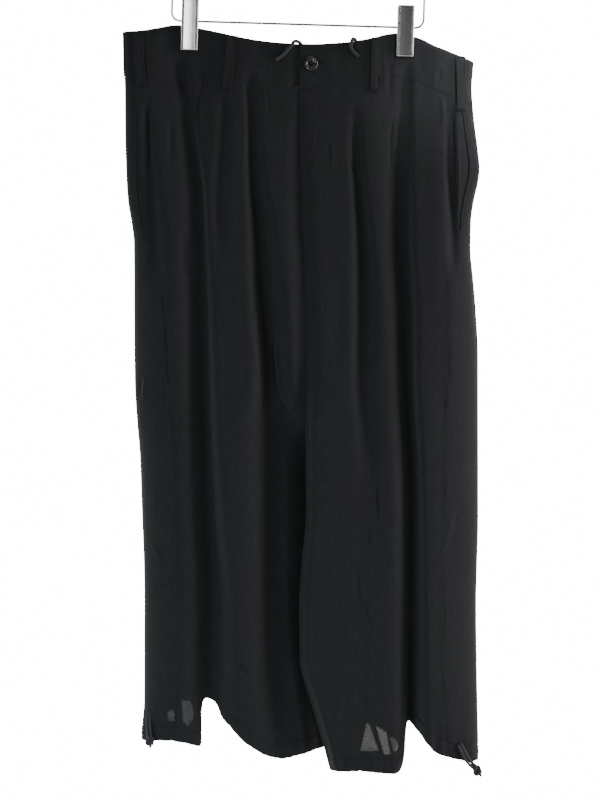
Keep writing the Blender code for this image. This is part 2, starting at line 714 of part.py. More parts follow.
def clear_depth(half, across, drop, reach, radius):
    """How far forward a round piece lies to rest on the front, over everything within its reach."""
    stand = HEM_WALL / 2 + SEAM_GAP + radius + 0.35
    return min(lifted(half, FRONT, across + r, drop, stand)[1] for r in (-reach, 0, reach))


def hem_cords():
    """Each leg's drawcord comes out of the casing as a pair of ends, tied in one knot."""
    for half, route in HEM_CORDS.items():
        direction = Vector((route[-1][0] - route[0][0], 0, route[-1][1] - route[0][1])).normalized()
        side = Vector((direction.z, 0, -direction.x)) * (HEM_CORD / 2 + SEAM_GAP / 2 + 0.1)
        ahead = KNOT_HEIGHT / 2 + SEAM_GAP + 0.6
        knot = (route[-1][0] + direction.x * ahead, route[-1][1] + direction.z * ahead)
        knot_depth = min(clear_depth(half, knot[0], knot[1] + d, 4.0, KNOT_WIDTH / 2) for d in (-4, 0))
        for end, sign in (("a", -1), ("b", 1)):
            points = []
            for i, (x, drop) in enumerate(route):
                share = (i / (len(route) - 1)) ** 1.5
                x, drop = x + sign * side.x, drop + sign * side.z
                resting = clear_depth(half, x, drop, 1.0, HEM_CORD / 2)
                depth = resting + (min(knot_depth, resting) - resting) * share
                points.append(to_world((x, depth, drop)))
            tube(f"hem_cord_{half}_{end}", smooth_route(points, 0.004), HEM_CORD, "black_cord")
        profile = [
            (0.0, KNOT_HEIGHT / 2), (KNOT_WIDTH * 0.3, KNOT_HEIGHT * 0.46),
            (KNOT_WIDTH * 0.46, KNOT_HEIGHT * 0.25), (KNOT_WIDTH / 2, 0.0),
            (KNOT_WIDTH * 0.46, -KNOT_HEIGHT * 0.25), (KNOT_WIDTH * 0.3, -KNOT_HEIGHT * 0.46),
            (0.0, -KNOT_HEIGHT / 2),
        ]  # fmt: skip
        turn = Vector((direction.x, 0, -direction.z)).to_track_quat("Z", "Y").to_matrix().to_4x4()
        centre = to_world((knot[0], knot_depth, knot[1]))
        turned(f"hem_knot_{half}", profile, "black_cord", centre, turn, 10)


def hanger_space():
    """The hanger's own frame: origin at the hook's rest, turned by the tilt that it hangs at."""
    empty = bpy.data.objects.new("hanger", None)
    PARTS.objects.link(empty)
    empty.rotation_euler = (0, HANGER_TILT, 0)
    return empty


def arc(centre, radius, start, end, steps):
    """Points of an arc in the plane of the hanger, angles in degrees from +X towards +Z."""
    angles = [math.radians(start + (end - start) * i / steps) for i in range(steps + 1)]
    return [Vector((centre[0] + radius * math.cos(a), 0, centre[1] + radius * math.sin(a))) for a in angles]


NECK_DROP = 72.0
CORNER_RADIUS = 11.0
SHOULDER_RADIUS = 24.0
SHOULDER_HEIGHT = 66.0
SHOULDER_SLOPE = 12.0


def hanger_frame(empty):
    """One closed loop of wire: bar, rounded corners, uprights, shoulders and sloping arms."""
    slope = SHOULDER_SLOPE
    bar = -HOOK_TO_BAR
    corner = (BAR_HALF_WIDTH - CORNER_RADIUS, bar + CORNER_RADIUS)
    shoulder = (BAR_HALF_WIDTH - SHOULDER_RADIUS, bar + SHOULDER_HEIGHT - SHOULDER_RADIUS)
    right = arc(corner, CORNER_RADIUS, 270, 360, 5) + arc(shoulder, SHOULDER_RADIUS, 0, 90 - slope, 6)
    apex = Vector((0, 0, -NECK_DROP - 6.0))
    left = [Vector((-p.x, 0, p.z)) for p in reversed(right)]
    middle = [Vector((10, 0, apex.z - 1.6)), apex, Vector((-10, 0, apex.z - 1.6))]
    points = [p * MM for p in right + middle + left]
    item = tube("hanger_frame", points, WIRE, "steel_wire", cyclic=True, sides=2)
    item.parent = empty
    return item


def hanger_hook(empty):
    """A round hook over the rod, with its stem held by a collar on the frame."""
    radius = HOOK_RADIUS + WIRE / 2
    centre = -HOOK_RADIUS
    over = arc((0, centre), radius, -50, 200, 16)
    stem = [Vector((0, 0, -NECK_DROP + 1.0)), Vector((0, 0, -NECK_DROP + 14.0)), Vector((3.5, 0, -48.0))]
    points = [p * MM for p in stem + over]
    item = tube("hanger_hook", points, WIRE, "steel_wire", sides=2)
    item.parent = empty
    top, foot = -NECK_DROP + 10.0, -NECK_DROP - 6.0 + WIRE / 2 + SEAM_GAP
    inner, outer = WIRE / 2 + SEAM_GAP, WIRE / 2 + 2.2
    profile = [
        (inner, top), (outer, top), (outer, foot), (0.0, foot), (0.0, -NECK_DROP + 0.6),
        (inner, -NECK_DROP + 0.6), (inner, top),
    ]  # fmt: skip
    collar = turned("hanger_collar", profile, "steel_wire", Vector((0, 0, 0)), None, 16)
    collar.parent = empty


def clip_plate(name, empty, across, sign):
    """One bent plate: flat jaw on the cloth, bowed round the spring, handle flared outwards."""
    grip = PINCHED_DEPTH + BAND_WALL / 2 + SEAM_GAP + CLIP_PLATE / 2 + 0.3
    bow = 5.4
    profile = (
        # height above the bar, distance from the cloth's middle
        (-CLIP_BELOW_BAR, grip), (-CLIP_BELOW_BAR + 12, grip), (-16, grip + 0.2), (-9, bow - 0.8),
        (-4, bow), (4, bow + 0.3), (14, bow + 1.6), (CLIP_ABOVE_BAR, bow + 4.0),
    )  # fmt: skip
    mesh = bpy.data.meshes.new(name)
    half = CLIP_WIDTH / 2
    columns = (-half, -half * 0.5, half * 0.5, half)
    points = [
        ((across + c) * MM, sign * out * MM, (-HOOK_TO_BAR + up) * MM)
        for up, out in profile
        for c in columns
    ]
    width = len(columns)
    faces = [
        (r * width + c, r * width + c + 1, (r + 1) * width + c + 1, (r + 1) * width + c)
        for r in range(len(profile) - 1)
        for c in range(width - 1)
    ]
    mesh.from_pydata(points, [], faces)
    mesh.shade_smooth()
    item = new_object(name, mesh, "steel_clip")
    solidify = item.modifiers.new("plate", "SOLIDIFY")
    solidify.thickness = CLIP_PLATE * MM
    solidify.offset = 0.0
    item.parent = empty


def clips(empty):
    """Two spring clips on the bar, each of two plates with a coil spring round the bar."""
    for name, across in zip((RIGHT, LEFT), CLIPS_ACROSS):
        clip_plate(f"clip_{name}_front", empty, across, -1)
        clip_plate(f"clip_{name}_back", empty, across, 1)
        inner, outer, half = WIRE / 2 + SEAM_GAP, 4.4, 7.0
        profile = [(inner, half), (outer, half), (outer, -half), (inner, -half), (inner, half)]
        lie = Matrix.Rotation(math.radians(90), 4, "Y")
        place = Vector((across * MM, 0, -HOOK_TO_BAR * MM))
        spring = turned(f"clip_{name}_spring", profile, "steel_wire", place, lie, 16)
        spring.parent = empty


clear_scene()
PARTS = bpy.data.collections.new("balloon_trousers")
CUTTERS = bpy.data.collections.new("cutters")
bpy.context.scene.collection.children.link(PARTS)
bpy.context.scene.collection.children.link(CUTTERS)
MATERIALS = {name: new_material(name) for name in COLOURS}

for half_name in (RIGHT, LEFT):
    for face_name in (FRONT, BACK):
        body_panel(half_name, face_name)
waistband()
belt_loops()
fly()
pocket_edges()
button()
waist_cords()
hem_cords()
HANGER = hanger_space()
hanger_frame(HANGER)
hanger_hook(HANGER)
clips(HANGER)
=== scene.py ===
"""Black balloon trousers, hanging by the waistband from a wire hanger with two clips.

The frame is in metres with +Z up. The viewer stands on the -Y side, and right and left in the
names are the wearer's, so the right leg is on the viewer's left. Tables that say so are in
millimetres: "across" runs from the middle of the hanger's bar to the viewer's right, "drop" down
from the bar, and "depth" from the plane of the bar towards the back.
"""

import math

import bpy
import numpy as np
from mathutils import Matrix, Vector


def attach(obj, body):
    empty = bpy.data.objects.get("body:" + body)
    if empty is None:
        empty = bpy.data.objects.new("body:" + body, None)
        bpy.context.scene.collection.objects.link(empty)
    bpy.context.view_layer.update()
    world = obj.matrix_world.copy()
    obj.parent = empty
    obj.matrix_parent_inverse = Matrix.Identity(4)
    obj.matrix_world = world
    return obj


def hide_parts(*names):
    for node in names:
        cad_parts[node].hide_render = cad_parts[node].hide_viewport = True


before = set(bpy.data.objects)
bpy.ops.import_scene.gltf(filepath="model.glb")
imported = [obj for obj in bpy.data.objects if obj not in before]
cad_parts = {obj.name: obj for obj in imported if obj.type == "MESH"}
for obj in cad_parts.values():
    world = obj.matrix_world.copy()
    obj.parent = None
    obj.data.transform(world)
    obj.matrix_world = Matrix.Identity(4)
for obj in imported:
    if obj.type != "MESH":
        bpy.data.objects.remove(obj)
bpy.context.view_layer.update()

# ---- Camera ----
# The trousers hang square to the lens, which stands level with their middle, three metres off.
VIEW_ACROSS, VIEW_DISTANCE, VIEW_HEIGHT = -0.0016, 3.0, -0.666
VIEW_LENS = 101.2
view = bpy.data.cameras.new("view")
view.lens = VIEW_LENS
camera = bpy.data.objects.new("view", view)
camera.location = (VIEW_ACROSS, -VIEW_DISTANCE, VIEW_HEIGHT)
camera.rotation_euler = (math.pi / 2, 0, 0)
bpy.context.scene.collection.objects.link(camera)
bpy.context.scene.camera = camera

# ---- Waist cord ----
# A round braid of black polyester runs inside the waistband. Its two ends come out over the top
# edge on either side of the button, lie down on the band and end where they were cut and sealed.
WAIST_CORD = 0.0044
CORD_STEP = 0.0005  # between the rings of a drawn cord
WAIST_CORD_ENDS = {
    # the route's points, in metres, from inside the waistband to the cut end
    "waist_cord_right": (
        (0.00711, -0.00031, -0.21785), (0.00521, 0.00006, -0.20581), (0.00141, 0.00029, -0.1947),
        (-0.00049, -0.00014, -0.19103), (-0.00334, -0.00305, -0.18871),
        (-0.00619, -0.00464, -0.18818), (-0.00847, -0.00625, -0.18846),
        (-0.01094, -0.00943, -0.19053), (-0.01189, -0.00979, -0.19358),
        (-0.01689, -0.00989, -0.19893), (-0.02389, -0.01007, -0.20693),
        (-0.03389, -0.01027, -0.21393),
    ),
    "waist_cord_left": (
        (0.07611, -0.00254, -0.21314), (0.07521, -0.00224, -0.20129),
        (0.07341, -0.00203, -0.19057), (0.07251, -0.00248, -0.18711),
        (0.07116, -0.00419, -0.18512), (0.06981, -0.00579, -0.18492),
        (0.06873, -0.0074, -0.18548), (0.06756, -0.00939, -0.18784),
        (0.06711, -0.00974, -0.19101), (0.06611, -0.00985, -0.19693),
        (0.07011, -0.00999, -0.20343), (0.07611, -0.01012, -0.20893),
    ),
}


def linear(hex_colour):
    """An sRGB hex colour as linear red, green, blue and 1."""
    parts = [int(hex_colour[i : i + 2], 16) / 255 for i in (1, 3, 5)]
    return tuple(c / 12.92 if c <= 0.04045 else ((c + 0.055) / 1.055) ** 2.4 for c in parts) + (1.0,)


def node(tree, kind, sockets, **options):
    """Adds a node with its options, and sets each socket to a value or links what feeds it."""
    made = tree.nodes.new(f"ShaderNode{kind}")
    for name, value in options.items():
        setattr(made, name, value)
    for name, value in sockets.items():
        if isinstance(value, bpy.types.NodeSocket):
            tree.links.new(value, made.inputs[name])
        else:
            made.inputs[name].default_value = value
    return made


def finish(name, hex_colour, **sockets):
    """A new material's node tree and shader, with the constants that the real finish has."""
    material = bpy.data.materials.new(name)
    material.use_nodes = True
    tree = material.node_tree
    shader = tree.nodes["Principled BSDF"]
    shader.inputs["Base Color"].default_value = linear(hex_colour)
    for socket, value in sockets.items():
        shader.inputs[socket.replace("_", " ")].default_value = value
    return material, tree, shader


def new_piece(name, points, faces, material, nodes=()):
    """A mesh piece in its place, on the one body, standing for the CAD nodes that it covers."""
    mesh = bpy.data.meshes.new(name)
    mesh.from_pydata([tuple(map(float, p)) for p in points], [], [tuple(map(int, f)) for f in faces])
    mesh.shade_smooth()
    mesh.materials.append(material)
    piece = bpy.data.objects.new(name, mesh)
    bpy.context.scene.collection.objects.link(piece)
    if nodes:
        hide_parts(*nodes)
    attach(piece, "root")
    return piece


def smooth_line(points, step):
    """Places about a step apart on a smooth curve through a route's own points."""
    points = [Vector(p) for p in points]
    ends = [2 * points[0] - points[1], *points, 2 * points[-1] - points[-2]]
    line = []
    for a, b, c, d in zip(ends, ends[1:], ends[2:], ends[3:]):
        count = max(2, round((c - b).length / step))
        for i in range(count):
            t = i / count
            bend = (2 * a - 5 * b + 4 * c - d) * t**2 + (3 * b - a - 3 * c + d) * t**3
            line.append(0.5 * (2 * b + (c - a) * t + bend))
    return line + [points[-1]]


def round_bar(line, radius_at, sides, closed=False):
    """Points and faces of a bar round a line. radius_at gives its radius at a run and an angle."""
    count = len(line)
    side = Vector((0.31, 0.52, 0.8))
    points, run = [], 0.0
    for i, place in enumerate(line):
        before = line[i - 1] if closed or i else place
        after = line[(i + 1) % count] if closed or i < count - 1 else place
        run += (place - line[i - 1]).length if i else 0.0
        ahead = (after - before).normalized()
        side = (side - ahead * side.dot(ahead)).normalized()
        up = ahead.cross(side)
        for k in range(sides):
            angle = math.tau * k / sides
            radius = radius_at(run, angle)
            points.append(place + (side * math.cos(angle) + up * math.sin(angle)) * radius)
    rings = count if closed else count - 1
    faces = []
    for i in range(rings):
        here, there = i * sides, (i + 1) % count * sides
        for k in range(sides):
            other = (k + 1) % sides
            faces.append((here + k, here + other, there + other, there + k))
    if not closed:
        for ring, tip in ((0, line[0] - (line[1] - line[0])), (count - 1, 2 * line[-1] - line[-2])):
            points.append(tip)
            rim = [ring * sides + k for k in range(sides)]
            pairs = zip(rim, rim[1:] + rim[:1])
            faces += [(b, a, len(points) - 1) if ring == 0 else (a, b, len(points) - 1) for a, b in pairs]
    return points, faces


def braid(crowns, strands, lay, depth):
    """The radius round a braid of a width over its crowns: strands cross over in two directions."""

    def radius_at(run, angle):
        turn = math.tau * run / lay
        over = max(math.cos(strands * angle + turn), math.cos(strands * angle - turn))
        return crowns / 2 * (1 - depth + depth * over)

    return radius_at


# Braided polyester filament: dull black, with a soft pale sheen off the crown of each strand.
braided_cord, tree, shader = finish(
    "braided_polyester", "#2a292b", Roughness=0.75, Specular_IOR_Level=0.15, Sheen_Weight=0.05
)
fibre = node(tree, "TexNoise", {"Scale": 2600.0, "Detail": 2.0})
tone = node(
    tree, "Mix", {0: fibre.outputs["Fac"], 6: linear("#232224"), 7: linear("#353336")}, data_type="RGBA"
)
tree.links.new(tone.outputs[2], shader.inputs["Base Color"])


def cord_end(name, line, radius_at, sides, **facts):
    """The free end of a cord, drawn round its middle line. The facts of what the real cord is are not used.
    """
    points, faces = round_bar(line, radius_at, sides)
    cord = new_piece(f"{name}_end", points, faces, braided_cord, [name])


# The crowns of the braid stand 7 % prouder than the cord's nominal width.
plait = braid(1.07 * WAIST_CORD, strands=5, lay=0.0034, depth=0.09)
for name, route in WAIST_CORD_ENDS.items():
    line = smooth_line(route, CORD_STEP)
    cord_end(name, line, plait, 30, exit=route[0], diameter=WAIST_CORD, far_end="bare")

# ---- Hem drawcords ----
# A thinner braid runs in each hem's casing. Both of its ends come out beside the side seam, hang
# down over the hem together and are tied in one overhand knot.
HEM_CORD, HEM_STRANDS, HEM_LAY = 0.0036, 4, 0.0029
KNOT_WIDTH, KNOT_HEIGHT = 0.0128, 0.0125
HEM_CORD_ENDS = {
    # the routes' points, in metres, from the casing to the knot
    "hem_cord_right_a": (
        (-0.20394, -0.01838, -1.08907), (-0.20394, -0.02053, -1.09707),
        (-0.20294, -0.0242, -1.10507), (-0.20244, -0.02774, -1.11107),
    ),
    "hem_cord_right_b": (
        (-0.19985, -0.02267, -1.08879), (-0.19985, -0.02378, -1.09679),
        (-0.19885, -0.02583, -1.10479), (-0.19835, -0.02774, -1.11079),
    ),
    "hem_cord_left_a": (
        (0.21042, -0.02916, -1.12809), (0.21442, -0.02682, -1.13609),
        (0.22042, -0.02306, -1.14609), (0.22842, -0.01796, -1.15409),
    ),
    "hem_cord_left_b": (
        (0.21379, -0.02789, -1.12576), (0.21779, -0.02534, -1.13376),
        (0.22379, -0.02111, -1.14376), (0.23179, -0.01796, -1.15176),
    ),
}
HEM_KNOTS = {
    # the knot's centre and the way that the cords run into it
    "hem_knot_right": ((-0.20001, -0.02774, -1.11656), (0.068, 0.0, -0.9977)),
    "hem_knot_left": ((0.23332, -0.01796, -1.15757), (0.5692, 0.0, -0.8222)),
}
# The first points lie in the casing, and the last in the knot, whose cut tails stick out below.
IN_CASING, IN_KNOT, TAIL = 0.007, 0.0035, 0.0025
KNOT_STEPS, TAIL_STEPS = 132, 24
# The braid over its crowns, as a share of the cord's width: loose, and in the tails pulled tight.
LOOSE, TIGHT = 1.16, 0.96


def joined(parts):
    """Several (points, faces) as one."""
    points, faces, base = [], [], 0
    for some_points, some_faces in parts:
        points.extend(some_points)
        faces.extend([tuple(i + base for i in face) for face in some_faces])
        base += len(some_points)
    return points, faces


knots = {}
cord_radius = HEM_CORD / 2
wide = (KNOT_WIDTH / 2 - cord_radius) / 3
high = KNOT_HEIGHT / 2 - cord_radius
for name, (centre, way) in HEM_KNOTS.items():
    turn = Vector(way).to_track_quat("Z", "Y")
    line = []
    for i in range(KNOT_STEPS):
        a = math.tau * i / KNOT_STEPS
        reach = (2 + math.cos(3 * a)) * wide
        place = Vector((reach * math.cos(2 * a), reach * math.sin(2 * a), high * math.sin(3 * a)))
        line.append(Vector(centre) + turn @ place)
    parts = [round_bar(line, braid(LOOSE * HEM_CORD, HEM_STRANDS, HEM_LAY, 0.08), 20, closed=True)]
    for aside in (-1, 1):
        tail = []
        for t in np.linspace(0.0, 1.0, TAIL_STEPS):
            place = Vector((aside * (0.0012 + 0.0008 * t), 0.0, t * (high + cord_radius + TAIL)))
            tail.append(Vector(centre) + turn @ place)
        parts.append(round_bar(tail, braid(TIGHT * HEM_CORD, HEM_STRANDS, HEM_LAY, 0.08), 20))
    points, faces = joined(parts)
    knots[name] = new_piece(f"{name}_tied", points, faces, braided_cord, [name])

plait = braid(LOOSE * HEM_CORD, HEM_STRANDS, HEM_LAY, 0.05)
for name, route in HEM_CORD_ENDS.items():
    first, last = Vector(route[0]), Vector(route[-1])
    start = first + (first - Vector(route[1])).normalized() * IN_CASING + Vector((0, 0.001, 0))
    end = last + (last - Vector(route[-2])).normalized() * IN_KNOT
    line = smooth_line([start, *route, end], CORD_STEP)
    knot = [knots[f"hem_knot_{name.split('_')[2]}"]] if name.endswith("a") else []
    cord_end(
        name, line, plait, 20, exit=start, diameter=HEM_CORD, far_end="knot", with_pieces=knot
    )

# ---- Fronts and backs ----
# Four panels of black polyester georgette, each with its hem casing turned up at the foot. The
# waist is held flat by the clips, so the pleats open below it into deep folds down to the hem.
RIGHT, LEFT = "right", "left"
FRONT, BACK = "front", "back"
# Which way runs inwards across each half, and outwards in depth on each face.
INWARD, OUTWARD = {RIGHT: 1, LEFT: -1}, {FRONT: -1, BACK: 1}
HOOK_TO_BAR = 165.0
HANGER_TILT = math.radians(1.7)
BAND_HEIGHT = 60.0
CLOTH = 0.8
CASING_HEIGHT = 19.0
CROTCH_DROP = 514.0
CROTCH_CURVE = 125.0

# The waistband's top edge, which sags between the clips and beyond them.
TOP_EDGE = (
    # across, drop
    (-232, 10), (-212, 9), (-190, 6), (-161, 1), (-133, 5), (-93, 14), (-59, 21), (-25, 25),
    (19, 27), (59, 25), (94, 20), (131, 12), (157, 17), (186, 30), (213, 41), (234, 50.5),
)

# How far the cloth stands from the plane of the bar, and how long the turn at each side is.
FULLNESS = (
    # drop, front, back, turn
    (0, 5.5, 5.5, 8), (50, 6.5, 6.5, 9), (85, 9, 9, 14), (141, 17, 18, 30), (234, 26, 28, 52),
    (367, 35, 38, 72), (514, 42, 45, 85), (647, 46, 48, 92), (781, 46, 48, 92),
    (901, 42, 44, 84), (961, 34, 36, 74), (1000, 29, 30, 70),
)

SIDE_SEAM = {
    RIGHT: (
        # drop, across
        (0, -232), (50, -231), (85, -230), (141, -229.5), (200, -228), (234, -226), (262, -221.5),
        (290, -218), (367, -217.5), (474, -216.5), (520, -214), (575, -209), (647, -206.5),
        (781, -203.5), (901, -203.5), (945, -206), (965, -205),
    ),
    LEFT: (
        (0, 234), (48, 234), (85, 231.5), (127, 235), (170, 240.5), (192, 242.5), (210, 240.5),
        (234, 235), (262, 231), (300, 230), (341, 233.5), (380, 236.5), (447, 240), (647, 241),
        (760, 238.5), (861, 239.5), (961, 240.5), (985, 240.5),
    ),
}

# The seat's seam is one for both legs, as far down as the crotch.
SEAT_SEAM = (
    # drop, across, depth
    (0, 3, -24), (141, 2, -24), (234, 4.7, -24), (367, 9.3, -24), (474, 11.3, -24), (514, 11.3, -24),
)
INNER_SEAM = {
    RIGHT: SEAT_SEAM + (
        (530, 12.7, -17), (556, 15, 1), (600, 16.5, 13), (700, 17, 17), (781, 18, 18), (901, 28, 17),
        (961, 37, 14), (1000, 40, 13),
    ),
    LEFT: SEAT_SEAM + (
        (540, 11.0, -27), (575, 11.4, -31), (648, 11.5, -34), (715, 6, -34), (768, 2.5, -34),
        (845, 3.3, -32), (881, 12, -29), (913, 22, -25), (942, 30, -20), (966, 36.5, -17),
        (987, 42, -15), (1000, 46, -14),
    ),
}
# How wide the cloth turns in at the inner seam, below the crotch.
INNER_TURN = {(RIGHT, FRONT): 30.0, (RIGHT, BACK): 55.0, (LEFT, FRONT): 12.0, (LEFT, BACK): 60.0}

# Each fold: how its profile flattens at the floor, and rows of its drop, place across, half width,
# depth and lean. The last two are left out where they are zero. Both fronts share the fly's fold.
FLY_FOLD = (
    2.0, (85, 3, 6), (141, 2, 8, 4), (234, 4, 11, 7), (367, 9, 12, 8), (474, 11, 12, 8), (530, 11, 12),
)
FOLDS = {
    (RIGHT, FRONT): {
        "side pleat": (
            2.0, (105, -199, 6), (141, -198, 7, 6), (234, -193, 8, 7), (310, -188, 9, 5), (380, -180, 10),
            (700, -165, 14), (960, -163, 14),
        ),
        "outer deep fold": (
            3.2, (40, -157, 8), (85, -151, 9, 4, 1), (141, -145, 9, 10, 2), (234, -134, 10, 15, 4),
            (367, -130, 12, 22, 3), (474, -127, 13, 28, 3), (567, -124, 14, 32, 3), (660, -119, 15, 35, 2),
            (781, -111, 18, 35, -1), (875, -111, 18, 32, -3), (961, -112, 14, 30, -4),
        ),
        "loop pleat": (
            2.0, (90, -99, 6), (110, -97, 7, 4), (234, -103, 8, 5), (330, -104, 10),
        ),
        "inner deep fold": (
            3.2, (60, -64, 6), (85, -63, 6, 4, -1), (127, -59, 7, 8, -1), (200, -55, 9, 13, -2),
            (275, -47, 12, 19, -3), (367, -39, 15, 25, -4), (440, -33, 15, 28, -4),
            (478, -30.5, 16, 30, -4), (500, -28, 19, 30, -4), (512, -24, 22, 31, -4),
            (523, -18, 28, 33, -4), (540, -14, 31, 35, -3), (781, -10, 32, 36, -3), (901, -5, 33, 30),
            (961, 0, 33, 16),
        ),
        "fly fold": FLY_FOLD,
    },
    (LEFT, FRONT): {
        "fly fold": FLY_FOLD,
        "inner pleat": (
            2.4, (105, 77, 6), (150, 77, 7, 6), (234, 82, 8, 12, 1), (300, 87, 10, 14, 1),
            (367, 89, 11, 13), (474, 87, 11, 9), (560, 92, 11, 4), (640, 97, 10), (960, 95, 12),
        ),
        "outer deep fold": (
            3.2, (40, 145, 6), (85, 145, 7, 4), (127, 144, 9, 9), (200, 138, 13, 14, 1),
            (300, 139, 13, 20, 1), (367, 143, 13, 22, 1), (474, 145, 12, 24, 1), (567, 150, 12, 25, 1),
            (660, 153, 12, 26), (781, 154, 12, 27, -1), (875, 155, 12, 29, -4), (961, 155, 12, 30, -5),
            (1000, 155, 12, 28, -5),
        ),
        "side pleat": (
            2.0, (105, 205, 5), (141, 204, 6, 6), (210, 203, 6, 7), (300, 206, 7, 5), (345, 207, 8),
            (700, 200, 12), (960, 200, 12),
        ),
    },
    (RIGHT, BACK): {
        "side pleat": (
            2.0, (120, -186, 7), (180, -184, 8, 7), (300, -180, 9, 6), (400, -178, 10),
        ),
        "hem fold": (
            3.0, (600, -110, 13), (781, -111, 14, 14), (901, -112, 14, 24), (961, -112, 13, 22),
        ),
        "deep fold": (
            3.0, (60, -75, 7), (100, -74, 8, 5), (234, -72, 11, 14, 2), (367, -70, 14, 20, 3),
            (514, -66, 16, 26, 5), (647, -60, 18, 30, 5), (781, -57, 18, 32, 5), (901, -56, 17, 28, 4),
            (961, -56, 16, 20, 3),
        ),
        "seat fold": (
            2.0, (90, -22, 7), (234, -24, 10, 8), (367, -26, 11, 9), (540, -28, 12),
        ),
    },
    (LEFT, BACK): {
        "seat fold": (
            2.0, (90, 26, 7), (260, 28, 10, 7), (367, 31, 11, 8), (540, 34, 12),
        ),
        "deep fold": (
            3.0, (60, 70, 7), (100, 71, 8, 5), (234, 75, 11, 13, -2), (367, 79, 13, 19, -3),
            (514, 82, 15, 25, -4), (647, 84, 17, 30, -4), (781, 86, 18, 32, -4), (901, 88, 17, 28, -3),
            (1000, 90, 16, 18, -2),
        ),
        "hem fold": (
            3.0, (600, 157, 12), (781, 156, 13, 14), (901, 155, 13, 24), (980, 155, 12, 22),
        ),
        "side pleat": (
            2.0, (120, 190, 7), (180, 188, 8, 7), (300, 186, 9, 6), (400, 184, 10),
        ),
    },
}

# A deep fold is pressed sharp on the side where the cloth turns under, and rolls in on the other.
FOLD_EDGES = {
    # share of the half width and power: on the fold's left, then on its right
    (RIGHT, FRONT, "outer deep fold"): (1.25, 2.0, 1.08, 2.9),
    (RIGHT, FRONT, "inner deep fold"): (1.12, 2.8, 1.0, 2.6),
    (LEFT, FRONT, "outer deep fold"): (1.25, 2.0, 0.95, 4.0),
    (RIGHT, BACK, "deep fold"): (1.15, 2.2, 0.95, 4.5),
    (LEFT, BACK, "deep fold"): (0.95, 4.5, 1.15, 2.2),
}

# The panels' columns follow these folds, with steps in half widths across each, and steps in
# degrees round the turn at the side seam.
GUIDES = {
    (RIGHT, FRONT): ("side pleat", "outer deep fold", "inner deep fold"),
    (LEFT, FRONT): ("side pleat", "outer deep fold", "inner pleat"),
    (RIGHT, BACK): ("hem fold", "deep fold"),
    (LEFT, BACK): ("hem fold", "deep fold"),
}
FOLD_STEPS = (-1.4, -1.15, -1.0, -0.85, -0.65, -0.3, 0.3, 0.65, 0.85, 1.0, 1.15, 1.4)
TURN_STEPS = (0.0, 4.0, 9.0, 16.0, 25.0, 36.0, 48.0, 62.0)
COLUMN_SPACING = 2.0
CLEAR_OF_LAST_FOLD, CLEAR_OF_INNER_SEAM = 4.0, 12.0
BEFORE_INNER_SEAM, PAST_INNER_SEAM = 8.0, 0.1

HEM_EDGE = {
    (RIGHT, FRONT): (
        # across, drop
        (-206, 953), (-170, 951), (-145, 954), (-130, 958.5), (-126.5, 954), (-125, 930),
        (-123.5, 904), (-119, 897), (-111, 899.5), (-105, 907), (-100, 919), (-91, 931), (-80, 942),
        (-70, 952), (-55, 963), (-39, 972), (-19, 976), (0, 972), (14, 968), (38, 965),
    ),
    (LEFT, FRONT): (
        (28, 991), (58, 992), (74, 991), (103, 993), (126, 995), (135, 992), (141, 984), (145, 970),
        (147, 945), (148.5, 931), (151.5, 927), (156, 930), (164, 941), (171, 954), (176, 960.5),
        (184, 967.5), (196, 972.5), (214, 977.5), (226, 981), (241, 980),
    ),
    (RIGHT, BACK): (
        (-206, 953), (-165, 948), (-135, 925), (-122, 898), (-110, 889), (-98, 896), (-88, 915),
        (-75, 930), (-55, 947), (-30, 960), (0, 964), (38, 962),
    ),
    (LEFT, BACK): (
        (28, 988), (60, 988), (100, 988), (125, 984), (138, 955), (146, 925), (155, 917),
        (165, 926), (172, 944), (184, 958), (205, 968), (225, 974), (241, 980),
    ),
}

# The clips pinch the waist flat: the share of the pinch at each drop, and its reach to the sides.
CLIP_PINCH = ((0, 1.0), (45, 1.0), (62, 0.8), (85, 0.5), (141, 0.18), (234, 0.0))
CLIP_PINCH_HALF_WIDTH = 34.0
PINCHED_DEPTH = 1.4
CLIPS_ACROSS = (-143.5, 144.0)

# The band's top edge rolls back towards the viewer's right, so that it faces up there.
ROLLED_EDGE = (
    (-232, 1.6), (-190, 0.8), (-150, 0.2), (100, 0.2), (150, 0.8), (165, 4.4), (215, 5.0), (234, 3.6),
)
ROLLED_HEIGHT = 9.0
